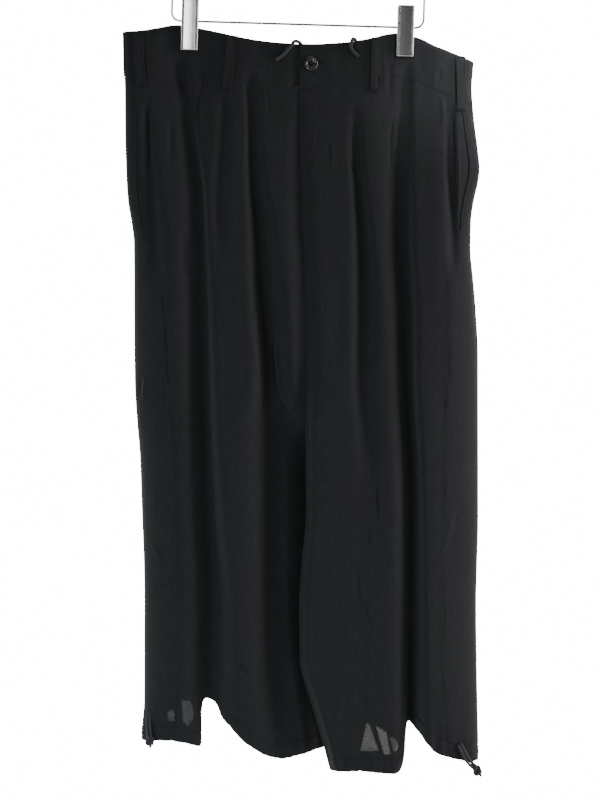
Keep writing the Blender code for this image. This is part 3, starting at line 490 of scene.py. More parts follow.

# Small creases, placed one by one: from and to (across, drop), how far the middle bends sideways, half
# width and height, which is negative for one that sinks.
CREASES = {
    (RIGHT, FRONT): (
        (-199, 104, -196, 200, 1, 2.4, -3.0), (-160, 42, -150, 100, 0, 8, -5),
        (-128, 62, -112, 96, -2, 5, -1.2),
        (-124.3, 69, -132.7, 103, 1.5, 1.3, -2.2), (-131.5, 96, -136, 132, 1, 1.4, -2.4),
        (-158, 537, -141, 511, 3, 1.9, -2.7), (-159, 552, -142, 530, 3, 1.7, -2),
        (-155, 570, -143, 554, 2, 1.9, -2.4), (-199, 757, -142, 722, -2, 1.9, -1.9),
        (-83, 844, -61, 864, 0, 1.7, -2.2), (-174, 484, -173, 505, 0, 2.2, -1.7),
        (-50, 157, -34, 155, 1, 1.7, 1.5), (-44, 88, -44, 104, 0, 1.4, 1.2),
        (-38, 100, -37, 116, 0, 1.2, -1.2), (-150, 276, -148, 342, 0, 6, -3.4),
        (-168, 128, -168, 188, 0, 4.2, -2), (-206, 470, -210, 500, 0, 2.5, -2),
        (-28, 412, -22, 494, -3, 2, -3.4), (-22, 492, -3, 520, -4, 2, -3.1),
        (-196, 690, -176, 720, 2, 2.5, 1.4), (-188, 860, -170, 880, 2, 2.5, -1.4),
    ),
    (LEFT, FRONT): (
        (205, 108, 207, 262, 2, 2.4, -3.2), (146, 52, 145, 110, 0, 7, -2.4),
        (112, 46, 110, 92, 0, 3, -1), (124, 48, 122, 100, 0, 3, -1),
        (79, 552, 88, 566, 0, 1.9, -1.2), (98, 592, 113, 590, 0, 1.5, -1.02),
        (104.5, 612, 105, 652, 1, 1.5, -1.62), (93, 668, 94, 690, 0, 2, -1.02),
        (76, 724, 108, 722, 0, 1.4, -1.32), (79, 724, 84, 772, -1, 1.4, -1.14),
        (83, 768, 98, 800, 2, 1.5, -1.2), (79, 882, 94, 908, 1, 1.5, -1.2),
        (148, 601, 180, 599, 1, 1.3, 0.84), (193, 98, 194, 140, 0, 2.5, 2.4),
        (183, 64, 182, 86, 0, 2, 1.5), (190, 60, 192, 78, 0, 1.5, -1.4),
        (127, 122, 124, 202, -1, 1.7, -2.7), (42, 160, 43, 186, 0, 1.4, -1.4),
        (71, 186, 73, 200, 0, 1.9, -1.7), (106, 68, 107, 86, 0, 1.5, -1.5),
        (-3, 302, 12, 318, 0, 1.5, -2.7), (22, 330, 24, 420, 0, 3.4, -1.5),
        (205, 640, 190, 700, 3, 3.4, 1.02), (60, 880, 48, 930, 2, 2.5, 0.9),
    ),
    (RIGHT, BACK): (
        (-160, 120, -150, 210, 3, 2.5, -2.4), (-120, 96, -118, 170, 0, 2, -2),
        (-46, 92, -47, 150, 0, 1.9, -1.9), (-150, 560, -128, 590, 3, 2, -2.4),
        (-30, 640, -12, 700, 3, 2.5, -2), (-190, 760, -150, 735, -2, 2, -2),
        (-100, 430, -96, 520, 2, 3.4, -2),
    ),
    (LEFT, BACK): (
        (158, 116, 150, 200, -3, 2.5, -2.4), (112, 98, 114, 168, 0, 2, -2),
        (46, 92, 48, 156, 0, 1.9, -1.9), (140, 520, 122, 556, 3, 2, -2.4),
        (40, 690, 22, 750, 3, 2.5, -2), (200, 800, 168, 770, 2, 2, -2),
        (118, 420, 116, 500, 2, 3.4, -2),
    ),
}
# The cloth beside a crease gives way by this share of its height, at this many half widths.
GIVES_WAY, GIVES_WAY_AT = 0.45, 1.9
# Swells of the slack cloth: how wide and tall, how high at the waist, and how much more below.
SLACK = ((38, 240, 0.15, 1.1), (15, 110, 0.1, 0.35), (5.5, 30, 0.09, 0.0))
SLACK_SEED = {(RIGHT, FRONT): 11, (LEFT, FRONT): 23, (RIGHT, BACK): 37, (LEFT, BACK): 53}
# How high the gathers over the hem are, the casing's second layer, the groove of its stitch row, and
# the pucker where the waistband is sewn on.
GATHER, SECOND_LAYER, GROOVE, PUCKER = 0.75, 0.5, 0.7, 0.3

# Where the hem is one layer of cloth, as outlines (across, drop) and how sheer each is.
SHEER = {
    RIGHT: (
        (((-174, 918), (-166.5, 912.8), (-158.4, 929.4), (-172.4, 929)), 0.85),
        (
            ((-154.5, 901), (-144.5, 900.4), (-139.6, 908), (-137.6, 923.5), (-142.3, 930),
             (-147.3, 934.5), (-152.9, 930)),
            0.82,
        ),
    ),
    LEFT: (
        (((91.7, 930.3), (96, 932), (108.7, 969.3), (83.3, 969.3)), 0.95),
        (((103.3, 933.3), (118.5, 943.5), (121.5, 960), (124.5, 974), (115.3, 974.7)), 1.0),
        (((122.5, 949), (129, 951.5), (134.5, 957), (134, 967), (128, 972)), 0.85),
    ),
}


def reading(rows, column, at):
    """A table's column read at any place, on a smooth line that never swings past its rows."""
    places = np.array([row[0] for row in rows], float)
    values = np.array([row[column] if column < len(row) else 0 for row in rows], float)
    steps = np.diff(places)
    slopes = np.diff(values) / steps
    tangents = np.concatenate(([slopes[0]], np.zeros(len(steps) - 1), [slopes[-1]]))
    for i in range(1, len(steps)):
        if slopes[i - 1] * slopes[i] > 0:
            before, after = 2 * steps[i] + steps[i - 1], steps[i] + 2 * steps[i - 1]
            tangents[i] = (before + after) / (before / slopes[i - 1] + after / slopes[i])
    at = np.clip(at, places[0], places[-1])
    i = np.clip(np.searchsorted(places, at, side="right") - 1, 0, len(steps) - 1)
    t = (at - places[i]) / steps[i]
    return (
        (2 * t**3 - 3 * t**2 + 1) * values[i]
        + (t**3 - 2 * t**2 + t) * steps[i] * tangents[i]
        + (3 * t**2 - 2 * t**3) * values[i + 1]
        + (t**3 - t**2) * steps[i] * tangents[i + 1]
    )


def smooth_step(value, low, high):
    t = np.clip((value - low) / (high - low), 0.0, 1.0)
    return t * t * (3 - 2 * t)


def hung_form(half, face, across, drop):
    """The middle of the hanging cloth as (across, depth, drop), before its small creases."""
    across, drop = np.broadcast_arrays(np.asarray(across, float), np.asarray(drop, float))
    full = reading(FULLNESS, 1 if face == FRONT else 2, drop)
    pinch = reading(CLIP_PINCH, 1, drop)
    for clip in CLIPS_ACROSS:
        near = np.exp(-(((across - clip) / CLIP_PINCH_HALF_WIDTH) ** 4)) * pinch
        full = full + (PINCHED_DEPTH - full) * near
    inner = reading(INNER_SEAM[half], 1, drop)
    tip = reading(INNER_SEAM[half], 2, drop)
    opening = np.clip((drop - CROTCH_DROP + CROTCH_CURVE) / CROTCH_CURVE, 0.0, 1.0) ** 2.4
    inside = np.minimum(np.abs(across - inner) / INNER_TURN[half, face], 1.0)
    inner_share = 1 - opening * np.cos(math.pi / 2 * inside) ** 2
    turn = reading(FULLNESS, 3, drop)
    from_seam = (across - reading(SIDE_SEAM[half], 1, drop)) * INWARD[half]
    side_share = np.sqrt(1 - (1 - np.clip(from_seam / turn, 0.0, 1.0)) ** 2)
    share = inner_share * side_share
    sunk, shift = 0.0, 0.0
    for name, (power, *stations) in FOLDS[half, face].items():
        place, width, depth, lean = (reading(stations, i, drop) for i in (1, 2, 3, 4))
        beside = (across - place) / width
        edges = FOLD_EDGES.get((half, face, name), (1.0, power, 1.0, power))
        left_edge = np.abs(beside / edges[0]) ** edges[1]
        right_edge = np.abs(beside / edges[2]) ** edges[3]
        profile = np.exp(-np.where(beside < 0, left_edge, right_edge))
        sunk = sunk + depth * profile * (drop >= stations[0][0])
        shift = shift + lean * profile
    rest = np.where(inner_share < side_share, tip, 0.0)
    rolled = np.clip(1 - (drop - top_edge(across)) / ROLLED_HEIGHT, 0, 1) ** 2
    rolled = reading(ROLLED_EDGE, 1, across) * rolled
    depth = rest * (1 - share) + OUTWARD[face] * (full - sunk - rolled) * share
    return np.stack([across + shift * share, depth, drop], -1)


def top_edge(across):
    return reading(TOP_EDGE, 1, across)


def hem_edge(half, face, across):
    """The hem's edge, a little scalloped where the drawcord gathers it."""
    scallops = swells(across, 0.0 * across, 4.2, 10.0, 71) * 0.8
    return reading(HEM_EDGE[half, face], 1, across) + scallops


LATTICE = 96


def swells(across, drop, wide, tall, seed):
    """Smooth uneven swells of about that width and height, from -1 to 1."""
    lattice = np.random.default_rng(seed).uniform(-1, 1, (LATTICE, LATTICE))
    u, v = across / wide + 40.5, drop / tall + 3.5
    i, j = np.floor(u).astype(int), np.floor(v).astype(int)
    a, b = u - i, v - j
    a, b = a * a * (3 - 2 * a), b * b * (3 - 2 * b)
    i, j, i1, j1 = i % LATTICE, j % LATTICE, (i + 1) % LATTICE, (j + 1) % LATTICE
    low = lattice[i, j] * (1 - a) + lattice[i1, j] * a
    high = lattice[i, j1] * (1 - a) + lattice[i1, j1] * a
    return low * (1 - b) + high * b


def small_creases(half, face, across, drop):
    """How far the cloth stands off its hung form, from creases, slack, gathers and the casing."""
    rise = np.zeros(np.shape(across + drop))
    for x0, y0, x1, y1, bend, width, height in CREASES[half, face]:
        along = np.array((x1 - x0, y1 - y0), float)
        length = np.linalg.norm(along)
        along /= length
        t = ((across - x0) * along[0] + (drop - y0) * along[1]) / length
        beside = (across - x0) * along[1] - (drop - y0) * along[0]
        inside = np.clip(t, 0, 1)
        beside = beside - bend * 4 * inside * (1 - inside)
        fade = np.where((t > 0) & (t < 1), np.sin(math.pi * inside) ** 0.7, 0.0)
        rise += height * fade * np.exp(-((beside / width) ** 2))
        rise -= GIVES_WAY * height * fade * np.exp(-((beside / width - GIVES_WAY_AT) ** 2))
    seed = SLACK_SEED[half, face]
    lower = smooth_step(drop, 70, 420)
    for i, (wide, tall, at_waist, more_below) in enumerate(SLACK):
        rise += swells(across, drop, wide, tall, seed + i) * (at_waist + more_below * lower)
    above = hem_edge(half, face, across) - drop
    gather = swells(across, drop, 4.6, 90, seed + 3) * 0.8 + swells(across, drop, 9, 60, seed + 4)
    rise += gather * GATHER * np.exp(-(np.clip(above - CASING_HEIGHT, 0, None) / 16.0))
    rise += SECOND_LAYER * smooth_step(-above, -CASING_HEIGHT, 1.5 - CASING_HEIGHT)
    rise -= GROOVE * np.exp(-(((above - CASING_HEIGHT) / 1.1) ** 2))
    below = drop - top_edge(across) - BAND_HEIGHT
    pucker = swells(across, drop, 5.0, 40, seed + 5)
    rise += pucker * PUCKER * np.exp(-((below / 14.0) ** 2)) * (below > 0)
    return rise


def cloth(half, face, across, drop, lift=0.0):
    """Places on the cloth, lifted off it, and the way out of it, in the tables' millimetres."""
    step = 0.4
    here = hung_form(half, face, across, drop)
    sideways = hung_form(half, face, across + step, drop) - hung_form(half, face, across - step, drop)
    down = hung_form(half, face, across, drop + step) - hung_form(half, face, across, drop - step)
    out = np.cross(sideways, down) * -OUTWARD[face]
    out /= np.linalg.norm(out, axis=-1, keepdims=True)
    return here + out * (small_creases(half, face, across, drop) + lift)[..., None], out


def to_world(places):
    """Places of the tables as points in the frame, past the tilt that the hanger hangs at."""
    places = np.asarray(places)
    x = (places[..., 0] - HOOK_TO_BAR * math.sin(HANGER_TILT)) / 1000
    z = (-HOOK_TO_BAR * math.cos(HANGER_TILT) - places[..., 2]) / 1000
    return np.stack([x, places[..., 1] / 1000, z], -1).reshape(-1, 3)


def grid_faces(rows, columns):
    """The squares of a grid of points, row by row."""
    return [
        (r * columns + c, r * columns + c + 1, (r + 1) * columns + c + 1, (r + 1) * columns + c)
        for r in range(rows - 1)
        for c in range(columns - 1)
    ]


def panel_columns(half, face, drops):
    """Where the columns of a panel lie across at each drop, from the side seam in, so that its
    edges run down the folds."""
    inward = INWARD[half]
    seam = reading(SIDE_SEAM[half], 1, drops)
    turn = reading(FULLNESS, 3, drops)
    last = (reading(INNER_SEAM[half], 1, drops) - seam) * inward + PAST_INNER_SEAM
    line = [turn * (1 - math.cos(math.radians(a))) for a in TURN_STEPS]
    for name in GUIDES[half, face]:
        stations = FOLDS[half, face][name][1:]
        middle = (reading(stations, 1, drops) - seam) * inward
        width = reading(stations, 2, drops)
        before = np.minimum(width, (middle - line[-1] - CLEAR_OF_LAST_FOLD) / -FOLD_STEPS[0])
        after = np.minimum(width, (last - CLEAR_OF_INNER_SEAM - middle) / FOLD_STEPS[-1])
        line += [middle + k * (before if k < 0 else after) for k in FOLD_STEPS]
    line += [last - BEFORE_INNER_SEAM, last]
    full = [line[0]]
    for a, b in zip(line, line[1:]):
        count = max(1, math.ceil(np.max(b - a) / COLUMN_SPACING))
        full += [a + (b - a) * (i + 1) / count for i in range(count)]
    return seam[:, None] + inward * np.stack(full, -1)


def in_outline(across, drop, outline, soft):
    """1 inside an outline and 0 outside it, with an edge as soft as the given distance."""
    inside = np.zeros(np.shape(across), bool)
    nearest = np.full(np.shape(across), 1e9)
    for (x0, y0), (x1, y1) in zip(outline, outline[1:] + outline[:1]):
        t = ((across - x0) * (x1 - x0) + (drop - y0) * (y1 - y0)) / ((x1 - x0) ** 2 + (y1 - y0) ** 2)
        t = np.clip(t, 0, 1)
        nearest = np.minimum(nearest, np.hypot(across - x0 - t * (x1 - x0), drop - y0 - t * (y1 - y0)))
        crosses = (y0 > drop) != (y1 > drop)
        at = x0 + (drop - y0) * (x1 - x0) / (y1 - y0 + (y1 == y0) * 1e-9)
        inside ^= crosses & (across < at)
    return smooth_step(np.where(inside, nearest, -nearest), -soft, soft)


# Polyester georgette: fine threads spun so tight that the cloth is pebbled and dull, black but
# slightly see-through where nothing lines it. Only its grazing edges catch any light.
THREAD = 0.0011  # metres; the real threads lie 0.4 mm apart, drawn coarser so that they show
georgette, tree, shader = finish(
    "polyester_georgette", "#1a1c1c",
    Roughness=0.85, Specular_IOR_Level=0.08, Sheen_Weight=0.08, Sheen_Roughness=0.5,
)
cut = node(tree, "UVMap", {}, uv_map="cut").outputs["UV"]
stretch = node(tree, "Mapping", {"Vector": cut, "Scale": (1.0, 0.3, 1.0)})
crinkle = node(tree, "TexNoise", {"Vector": stretch.outputs["Vector"], "Scale": 240.0, "Detail": 3.0})
pebble = node(tree, "TexNoise", {"Vector": cut, "Scale": 0.5 / THREAD, "Detail": 2.0})
threads = {"Vector": cut, "Scale": 0.31 / THREAD, "Distortion": 0.6}
warp = node(tree, "TexWave", threads, bands_direction="X")
weft = node(tree, "TexWave", threads, bands_direction="Y")
weave = node(tree, "Math", {0: warp.outputs["Fac"], 1: weft.outputs["Fac"]}, operation="MULTIPLY")
grain = node(
    tree, "Math", {0: weave.outputs[0], 1: 0.45, 2: pebble.outputs["Fac"]}, operation="MULTIPLY_ADD"
)
relief = node(
    tree, "Math", {0: crinkle.outputs["Fac"], 1: 1.4, 2: grain.outputs[0]}, operation="MULTIPLY_ADD"
)
bump = node(tree, "Bump", {"Height": relief.outputs[0], "Strength": 0.22, "Distance": 0.0004})
# Painted shade: the base colour follows the crinkle's relief, darker in its hollows and lighter on its
# crests.
shade = node(tree, "MapRange", {"Value": crinkle.outputs["Fac"], "From Min": 0.3, "From Max": 0.7})
tone = node(
    tree, "Mix", {0: shade.outputs[0], 6: linear("#191b1b"), 7: linear("#1d1f1f")}, data_type="RGBA"
)
# The black dye takes unevenly: a faint green cast in some places and a faint violet one in others.
GREEN_CAST, VIOLET_CAST = (0.94, 1.02, 0.98, 1.0), (1.05, 0.97, 1.06, 1.0)
dye = node(tree, "TexNoise", {"Vector": cut, "Scale": 9.0, "Detail": 2.0})
patches = node(tree, "MapRange", {"Value": dye.outputs["Fac"], "From Min": 0.38, "From Max": 0.62})
cast = node(tree, "Mix", {0: patches.outputs[0], 6: GREEN_CAST, 7: VIOLET_CAST}, data_type="RGBA")
dyed = node(
    tree, "Mix", {0: 1.0, 6: tone.outputs[2], 7: cast.outputs[2]}, data_type="RGBA", blend_type="MULTIPLY"
)
thin = node(tree, "Attribute", {}, attribute_name="thin")
cover = node(tree, "MapRange", {"Value": thin.outputs["Fac"], "To Min": 1.0, "To Max": 0.44})
tree.links.new(dyed.outputs[2], shader.inputs["Base Color"])
tree.links.new(bump.outputs["Normal"], shader.inputs["Normal"])
tree.links.new(cover.outputs[0], shader.inputs["Alpha"])


def add_cut(piece, across, drop):
    """A map of the flat cloth in metres, so that the weave's scale is real."""
    flat = np.stack([np.ravel(across), np.ravel(drop)], -1) / 1000
    corners = np.empty(len(piece.data.loops), int)
    piece.data.loops.foreach_get("vertex_index", corners)
    piece.data.uv_layers.new(name="cut").data.foreach_set("uv", flat[corners].ravel())


# The rows of a panel's mesh, as drops where its edges are level, closest at its hem.
TOP_LEVEL, HEM_LEVEL = 85.0, 950.0
LEVELS = np.concatenate(
    [
        np.array([81.5, 83.0, 84.0, 85.0, 87.0, 90.0]),
        np.arange(94.0, 880.0, 5.0),
        np.arange(881.0, 926.0, 2.2),
        np.array([926.5, 928.5, 930.0, 931.0, 932.0, 933.5, 936.0, 940.0, 944.0, 947.5, 949.3, 950.0]),
    ]
)[:, None]
# The top edge's shape carries on down to the first level, and the hem's comes in from the second.
TOP_FADES_AT, HEM_STARTS_AT = 320, 690

# Where the lens is, as (across, drop), and how far both layers hang from the bar's plane there.
LENS = np.array((3.3, -VIEW_HEIGHT * 1000 - HOOK_TO_BAR))
LAYER_DEPTH = {FRONT: -34.0, BACK: 36.0}
# The back layer's windows are half as big again, so that the front's outlines are what shows.
BACK_GROWTH, SHEER_EDGE = 1.5, 1.0


def sheerness(half, face, across, drop):
    """How sheer a layer is, by the outlines that the lens sees laid on it at its own depth."""
    sheer = np.zeros(across.shape)
    for outline, strength in SHEER[half]:
        seen = np.array(outline, float)
        if face == BACK:
            middle = seen.mean(0)
            seen = middle + (seen - middle) * BACK_GROWTH
        seen = LENS + (seen - LENS) * (1 + LAYER_DEPTH[face] / 1000 / VIEW_DISTANCE)
        inside = in_outline(across, drop, [tuple(p) for p in seen], SHEER_EDGE)
        sheer = np.maximum(sheer, strength * inside)
    return sheer


# Each panel's cut where it shows, laid flat: its widest place, its length and its area.
CUT = {
    (RIGHT, FRONT): (0.396, 0.905, 0.265), (RIGHT, BACK): (0.363, 0.914, 0.244),
    (LEFT, FRONT): (0.347, 0.929, 0.268), (LEFT, BACK): (0.369, 0.937, 0.262),
}

drops = np.arange(40.0, 1012.0, 2.0)
for (half, face), (wide, long, area) in CUT.items():
    lines = panel_columns(half, face, drops)
    columns = range(lines.shape[1])

    def place_across(at):
        return np.stack([np.interp(at[:, c], drops, lines[:, c]) for c in columns], -1)

    waist_line = place_across(np.full((1, len(columns)), TOP_LEVEL))
    for _ in range(4):
        waist_line = place_across(top_edge(waist_line) + BAND_HEIGHT)
    hem_line = place_across(np.full((1, len(columns)), HEM_LEVEL))
    near_top = 1 - smooth_step(LEVELS, TOP_LEVEL, TOP_FADES_AT)
    near_hem = smooth_step(LEVELS, HEM_STARTS_AT, HEM_LEVEL)
    drop = (
        LEVELS
        + (top_edge(waist_line) + BAND_HEIGHT - TOP_LEVEL) * near_top
        + (hem_edge(half, face, hem_line) - HEM_LEVEL) * near_hem
    )
    across = place_across(drop)
    places, _ = cloth(half, face, across, drop)
    # front and back overlap by a hair at the side seam, so that no light comes between them
    places[:, 0, 1] = -0.15 * OUTWARD[face]
    name = f"{face}_{half}"
    faces = grid_faces(*across.shape)
    piece = new_piece(f"cloth_{name}", to_world(places), faces, georgette, [name])
    add_cut(piece, across, drop)
    layer = piece.data.attributes.new("thin", "FLOAT", "POINT")
    layer.data.foreach_set("value", sheerness(half, face, across, drop).ravel())
    wall = piece.modifiers.new("wall", "SOLIDIFY")
    wall.thickness = CLOTH / 1000
    wall.offset = 0.0

# ---- Waistband ----
# Each length is a doubled strip of the same georgette over interfacing, folded at the top, sewn to
# the pleated panels at the foot and top-stitched. The left front laps over the right and buttons.
BAND_WALL = 2.0
BAND_OVERLAP_FROM, BAND_UNDERLAP_TO = 2.7, 32.0
UNDERLAP_GAP = 0.4
# The rows of top-stitching: how far the first is below the top edge, and the second above the foot.
TOP_ROW, FOOT_ROW = 6.0, 2.5

# The doubled cloth is flatter and smoother than the panels, with more of the dull face showing.
band_cloth = georgette.copy()
band_cloth.name = "interfaced_georgette"
for item in band_cloth.node_tree.nodes:
    if item.type == "BUMP":
        item.inputs["Strength"].default_value = 0.16

# Spun polyester thread in short stitches: each one a small smooth bar that dips at its two ends.
sewing_thread, tree, shader = finish(
    "spun_polyester_thread", "#1c1d1e", Roughness=0.7, Specular_IOR_Level=0.12
)
twist = node(tree, "TexNoise", {"Scale": 4000.0})
tone = node(
    tree, "Mix", {0: twist.outputs["Fac"], 6: linear("#18191a"), 7: linear("#212224")}, data_type="RGBA"
)
tree.links.new(tone.outputs[2], shader.inputs["Base Color"])


def eased_steps(length, spacing, rim=(0.0, 0.12, 0.4, 0.9, 1.6)):
    """Places along a length, closer together at its two ends so that they can be rounded."""
    count = max(2, math.ceil((length - 2 * rim[-1]) / spacing))
    middle = np.linspace(rim[-1], length - rim[-1], count + 1)
    return np.concatenate([rim[:-1], middle, length - np.array(rim[:-1])[::-1]])


def closed_sheet(outer, inner):
    """Points and faces of a sheet with two sides that meet round its edges."""
    rows, columns = outer.shape[:2]
    front = np.arange(rows * columns).reshape(rows, columns)
    rear = front.copy()
    rear[1:-1, 1:-1] = rows * columns + np.arange((rows - 2) * (columns - 2)).reshape(rows - 2, -1)
    sides = outer.copy()
    for edge in (np.s_[0, :], np.s_[-1, :], np.s_[:, 0], np.s_[:, -1]):
        sides[edge] = (outer[edge] + inner[edge]) / 2
    points = np.concatenate([sides.reshape(-1, 3), inner[1:-1, 1:-1].reshape(-1, 3)])
    faces = []
    for r in range(rows - 1):
        for c in range(columns - 1):
            square = ((r, c), (r, c + 1), (r + 1, c + 1), (r + 1, c))
            faces.append([front[p] for p in square])
            back = [rear[p] for p in reversed(square)]
            if len(set(back)) > 2 and set(back) != set(faces[-1]):
                faces.append(back)
    return points, faces


def rounded(along, wide, radius):
    """From 0 at a strip's edges to 1 past the given radius, as a quarter round."""
    from_edge = np.minimum(np.minimum(along, along.max() - along), np.minimum(wide, wide.max() - wide))
    return np.sqrt(1 - (1 - np.clip(from_edge / radius, 0, 1)) ** 2)


def sewn_strip(name, covers, fabric, half, face, across, drop, lift, rim, wall, ridge):
    """A doubled strip over a panel's form, its middle lifted off it and its rim rounded."""
    outer, _ = cloth(half, face, across, drop, lift + rim * (wall / 2 + ridge))
    inner, _ = cloth(half, face, across, drop, lift - rim * wall / 2)
    points, faces = closed_sheet(outer, inner)
    piece = new_piece(name, to_world(points), faces, fabric, [covers])
    flat = np.stack(np.broadcast_arrays(across, drop), -1)
    flat = np.concatenate([flat.reshape(-1, 2), flat[1:-1, 1:-1].reshape(-1, 2)])
    add_cut(piece, flat[:, 0], flat[:, 1])
    return piece


STITCH = (
    # share of the stitch's length, rise, share of the thread's thickness
    (0.0, -0.35, 0.35), (0.12, 0.08, 0.8), (0.35, 0.2, 1.0), (0.65, 0.2, 1.0), (0.88, 0.08, 0.8),
    (1.0, -0.35, 0.35),
)
STITCH_SIDES = 6


def stitches(half, face, path, lift, pitch=3.0, length=2.3, width=0.5):
    """Points and faces of a row of stitches that follows a path of (across, drop) on the cloth."""
    path = np.array(path, float)
    runs = np.concatenate([[0], np.cumsum(np.linalg.norm(np.diff(path, axis=0), axis=1))])
    starts = np.arange(pitch * 0.3, runs[-1] - length, pitch)
    shares, rises, thick = zip(*STITCH)
    at = (starts[:, None] + np.array(shares) * length).ravel()
    across, drop = np.interp(at, runs, path[:, 0]), np.interp(at, runs, path[:, 1])
    height = np.broadcast_to(lift, at.shape) if np.ndim(lift) == 0 else np.interp(at, runs, lift)
    places, out = cloth(half, face, across, drop, height + np.tile(rises, len(starts)))
    ahead = np.gradient(places, axis=0)
    ahead /= np.linalg.norm(ahead, axis=-1, keepdims=True)
    side = np.cross(ahead, out)
    points, faces = [], []
    for i in range(len(starts)):
        base = len(points)
        for k, scale in enumerate(thick):
            j = i * len(shares) + k
            for a in range(STITCH_SIDES):
                turn = math.tau * a / STITCH_SIDES
                ring = side[j] * math.cos(turn) * width / 2 + out[j] * math.sin(turn) * width / 2.4
                points.append(places[j] + ring * scale)
        for k in range(len(shares) - 1):
            here, there = base + k * STITCH_SIDES, base + (k + 1) * STITCH_SIDES
            for a in range(STITCH_SIDES):
                b = (a + 1) % STITCH_SIDES
                faces.append((here + a, here + b, there + b, there + a))
        last = len(points) - STITCH_SIDES
        faces += [tuple(range(base + STITCH_SIDES - 1, base - 1, -1)), tuple(range(last, len(points)))]
    return to_world(points), faces


def sewn(name, rows):
    """Rows of stitches as one piece."""
    points, faces = joined(rows)
    new_piece(name, points, faces, sewing_thread)


def underlap(across):
    """How far the right front length steps back where the left one buttons over it."""
    return (BAND_WALL + UNDERLAP_GAP) * smooth_step(across, -14.0, -1.0)


band_rows = []
for half, face in ((RIGHT, FRONT), (LEFT, FRONT), (RIGHT, BACK), (LEFT, BACK)):
    side, centre = SIDE_SEAM[half][0][1], INNER_SEAM[half][0][1]
    if face == FRONT:
        centre = BAND_UNDERLAP_TO if half == RIGHT else BAND_OVERLAP_FROM
    length = abs(centre - side)
    along, down = eased_steps(length, 2.6), eased_steps(BAND_HEIGHT, 2.4)[:, None]
    line = side + INWARD[half] * along
    top = top_edge(line)
    drop = top + down
    near_seam = 1 - smooth_step(np.abs(line - side), 0.0, 25.0)
    moves = reading(SIDE_SEAM[half], 1, drop) - reading(SIDE_SEAM[half], 1, top + BAND_HEIGHT)
    across = line + moves * near_seam
    shift = -underlap(across) if (half, face) == (RIGHT, FRONT) else np.zeros(across.shape)
    # the two rows of top-stitching pull the cloth in, and it puffs a little between them
    from_foot = BAND_HEIGHT - down
    pulled = np.exp(-((down - TOP_ROW) ** 2)) + np.exp(-((from_foot - FOOT_ROW) ** 2))
    seed = SLACK_SEED[half, face]
    puff = 0.35 * swells(across, drop, 7, 22, seed + 7) + 0.5 * swells(across, drop, 26, 40, seed + 8)
    rise = puff * np.clip(from_foot / 12, 0, 1) - 0.35 * pulled
    name, rim = f"waistband_{face}_{half}", rounded(down, along, 1.1)
    piece = sewn_strip(
        f"{name}_cloth", name, band_cloth, half, face, across, drop, shift, rim, BAND_WALL, rise
    )
    for distance in (TOP_ROW, BAND_HEIGHT - FOOT_ROW):
        path = np.stack([line, top + distance], -1)[4:-4]
        band_rows.append(stitches(half, face, path, shift[0, 4:-4] + BAND_WALL / 2 - 0.2))
sewn("waistband_stitches", band_rows)

# ---- Belt loops ----
# Narrow folded strips of the same cloth, stitched along both edges, with a bar of close stitches
# at the top and at the foot, where each loop ends a little below the waistband.
LOOP_WIDTH, LOOP_LENGTH, LOOP_STAND, LOOP_WALL = 13.0, 74.0, 2.4, 1.4
LOOPS = {
    # face, half, and where the top and the foot lie across
    "loop_front_1": (FRONT, RIGHT, -212, -208),
    "loop_front_2": (FRONT, RIGHT, -86, -94),
    "loop_front_3": (FRONT, LEFT, 104.5, 103),
    "loop_front_4": (FRONT, LEFT, 217, 218),
    "loop_back_1": (BACK, RIGHT, -112, -112),
    "loop_back_2": (BACK, RIGHT, -9, -9),
    "loop_back_3": (BACK, LEFT, 112, 112),
}

STITCH_INSET = 1.7
# At each end of a loop, thirteen close stitches cross it as a bar.
BARS, BAR_STITCHES, BAR_PITCH = (2.2, LOOP_LENGTH - 2.6), 13, 0.85

loop_rows = []
along, wide = eased_steps(LOOP_LENGTH, 1.8), eased_steps(LOOP_WIDTH, 1.3)
share = along[:, None] / LOOP_LENGTH
# the folded edges stand up as ridges, with the stitch rows sunk beside them
from_side = np.minimum(wide, LOOP_WIDTH - wide)
ridge = 0.22 * np.cos(math.pi * np.clip(from_side / 3.2, 0, 1))
ridge = ridge - 0.3 * np.exp(-(((from_side - STITCH_INSET) / 0.5) ** 2))
flush = BAND_WALL / 2 + LOOP_WALL / 2 + 0.2
stand = flush + LOOP_STAND * np.sin(math.pi * np.clip(share * 1.02 - 0.01, 0, 1)) ** 0.7
rim = rounded(along[:, None], wide, 0.8)
for name, (face, half, top, foot) in LOOPS.items():
    middle = top + (foot - top) * share
    across = middle + (wide - LOOP_WIDTH / 2) * (1 - 0.06 * np.sin(math.pi * share))
    first_drop = top_edge(top) + 1.0
    drop = first_drop + along[:, None] + 0 * wide
    lift = stand + 0.5 * swells(across, drop, 9, 22, 90 + len(loop_rows))
    piece = sewn_strip(
        f"{name}_strip", name, band_cloth, half, face, across, drop, lift, rim, LOOP_WALL, ridge
    )
    height = lift[:, len(wide) // 2]
    for inset in (STITCH_INSET, LOOP_WIDTH - STITCH_INSET):
        path = np.stack([middle[:, 0] + inset - LOOP_WIDTH / 2, drop[:, 0]], -1)[4:-4]
        rise = (height + LOOP_WALL / 2 - 0.15)[4:-4]
        loop_rows.append(stitches(half, face, path, rise, pitch=2.6, length=2.0, width=0.42))
    for place in BARS:
        bar_drop = first_drop + place
        bar_middle = top + (foot - top) * place / LOOP_LENGTH
        rise = float(np.interp(place, along, height) + LOOP_WALL / 2)
        for k in range(BAR_STITCHES):
            x = bar_middle + (k - BAR_STITCHES // 2) * BAR_PITCH
            path = [(x - 0.25, bar_drop - 1.5), (x + 0.25, bar_drop + 1.9)]
            loop_rows.append(stitches(half, face, path, rise, length=2.4))
sewn("loop_stitches", loop_rows)

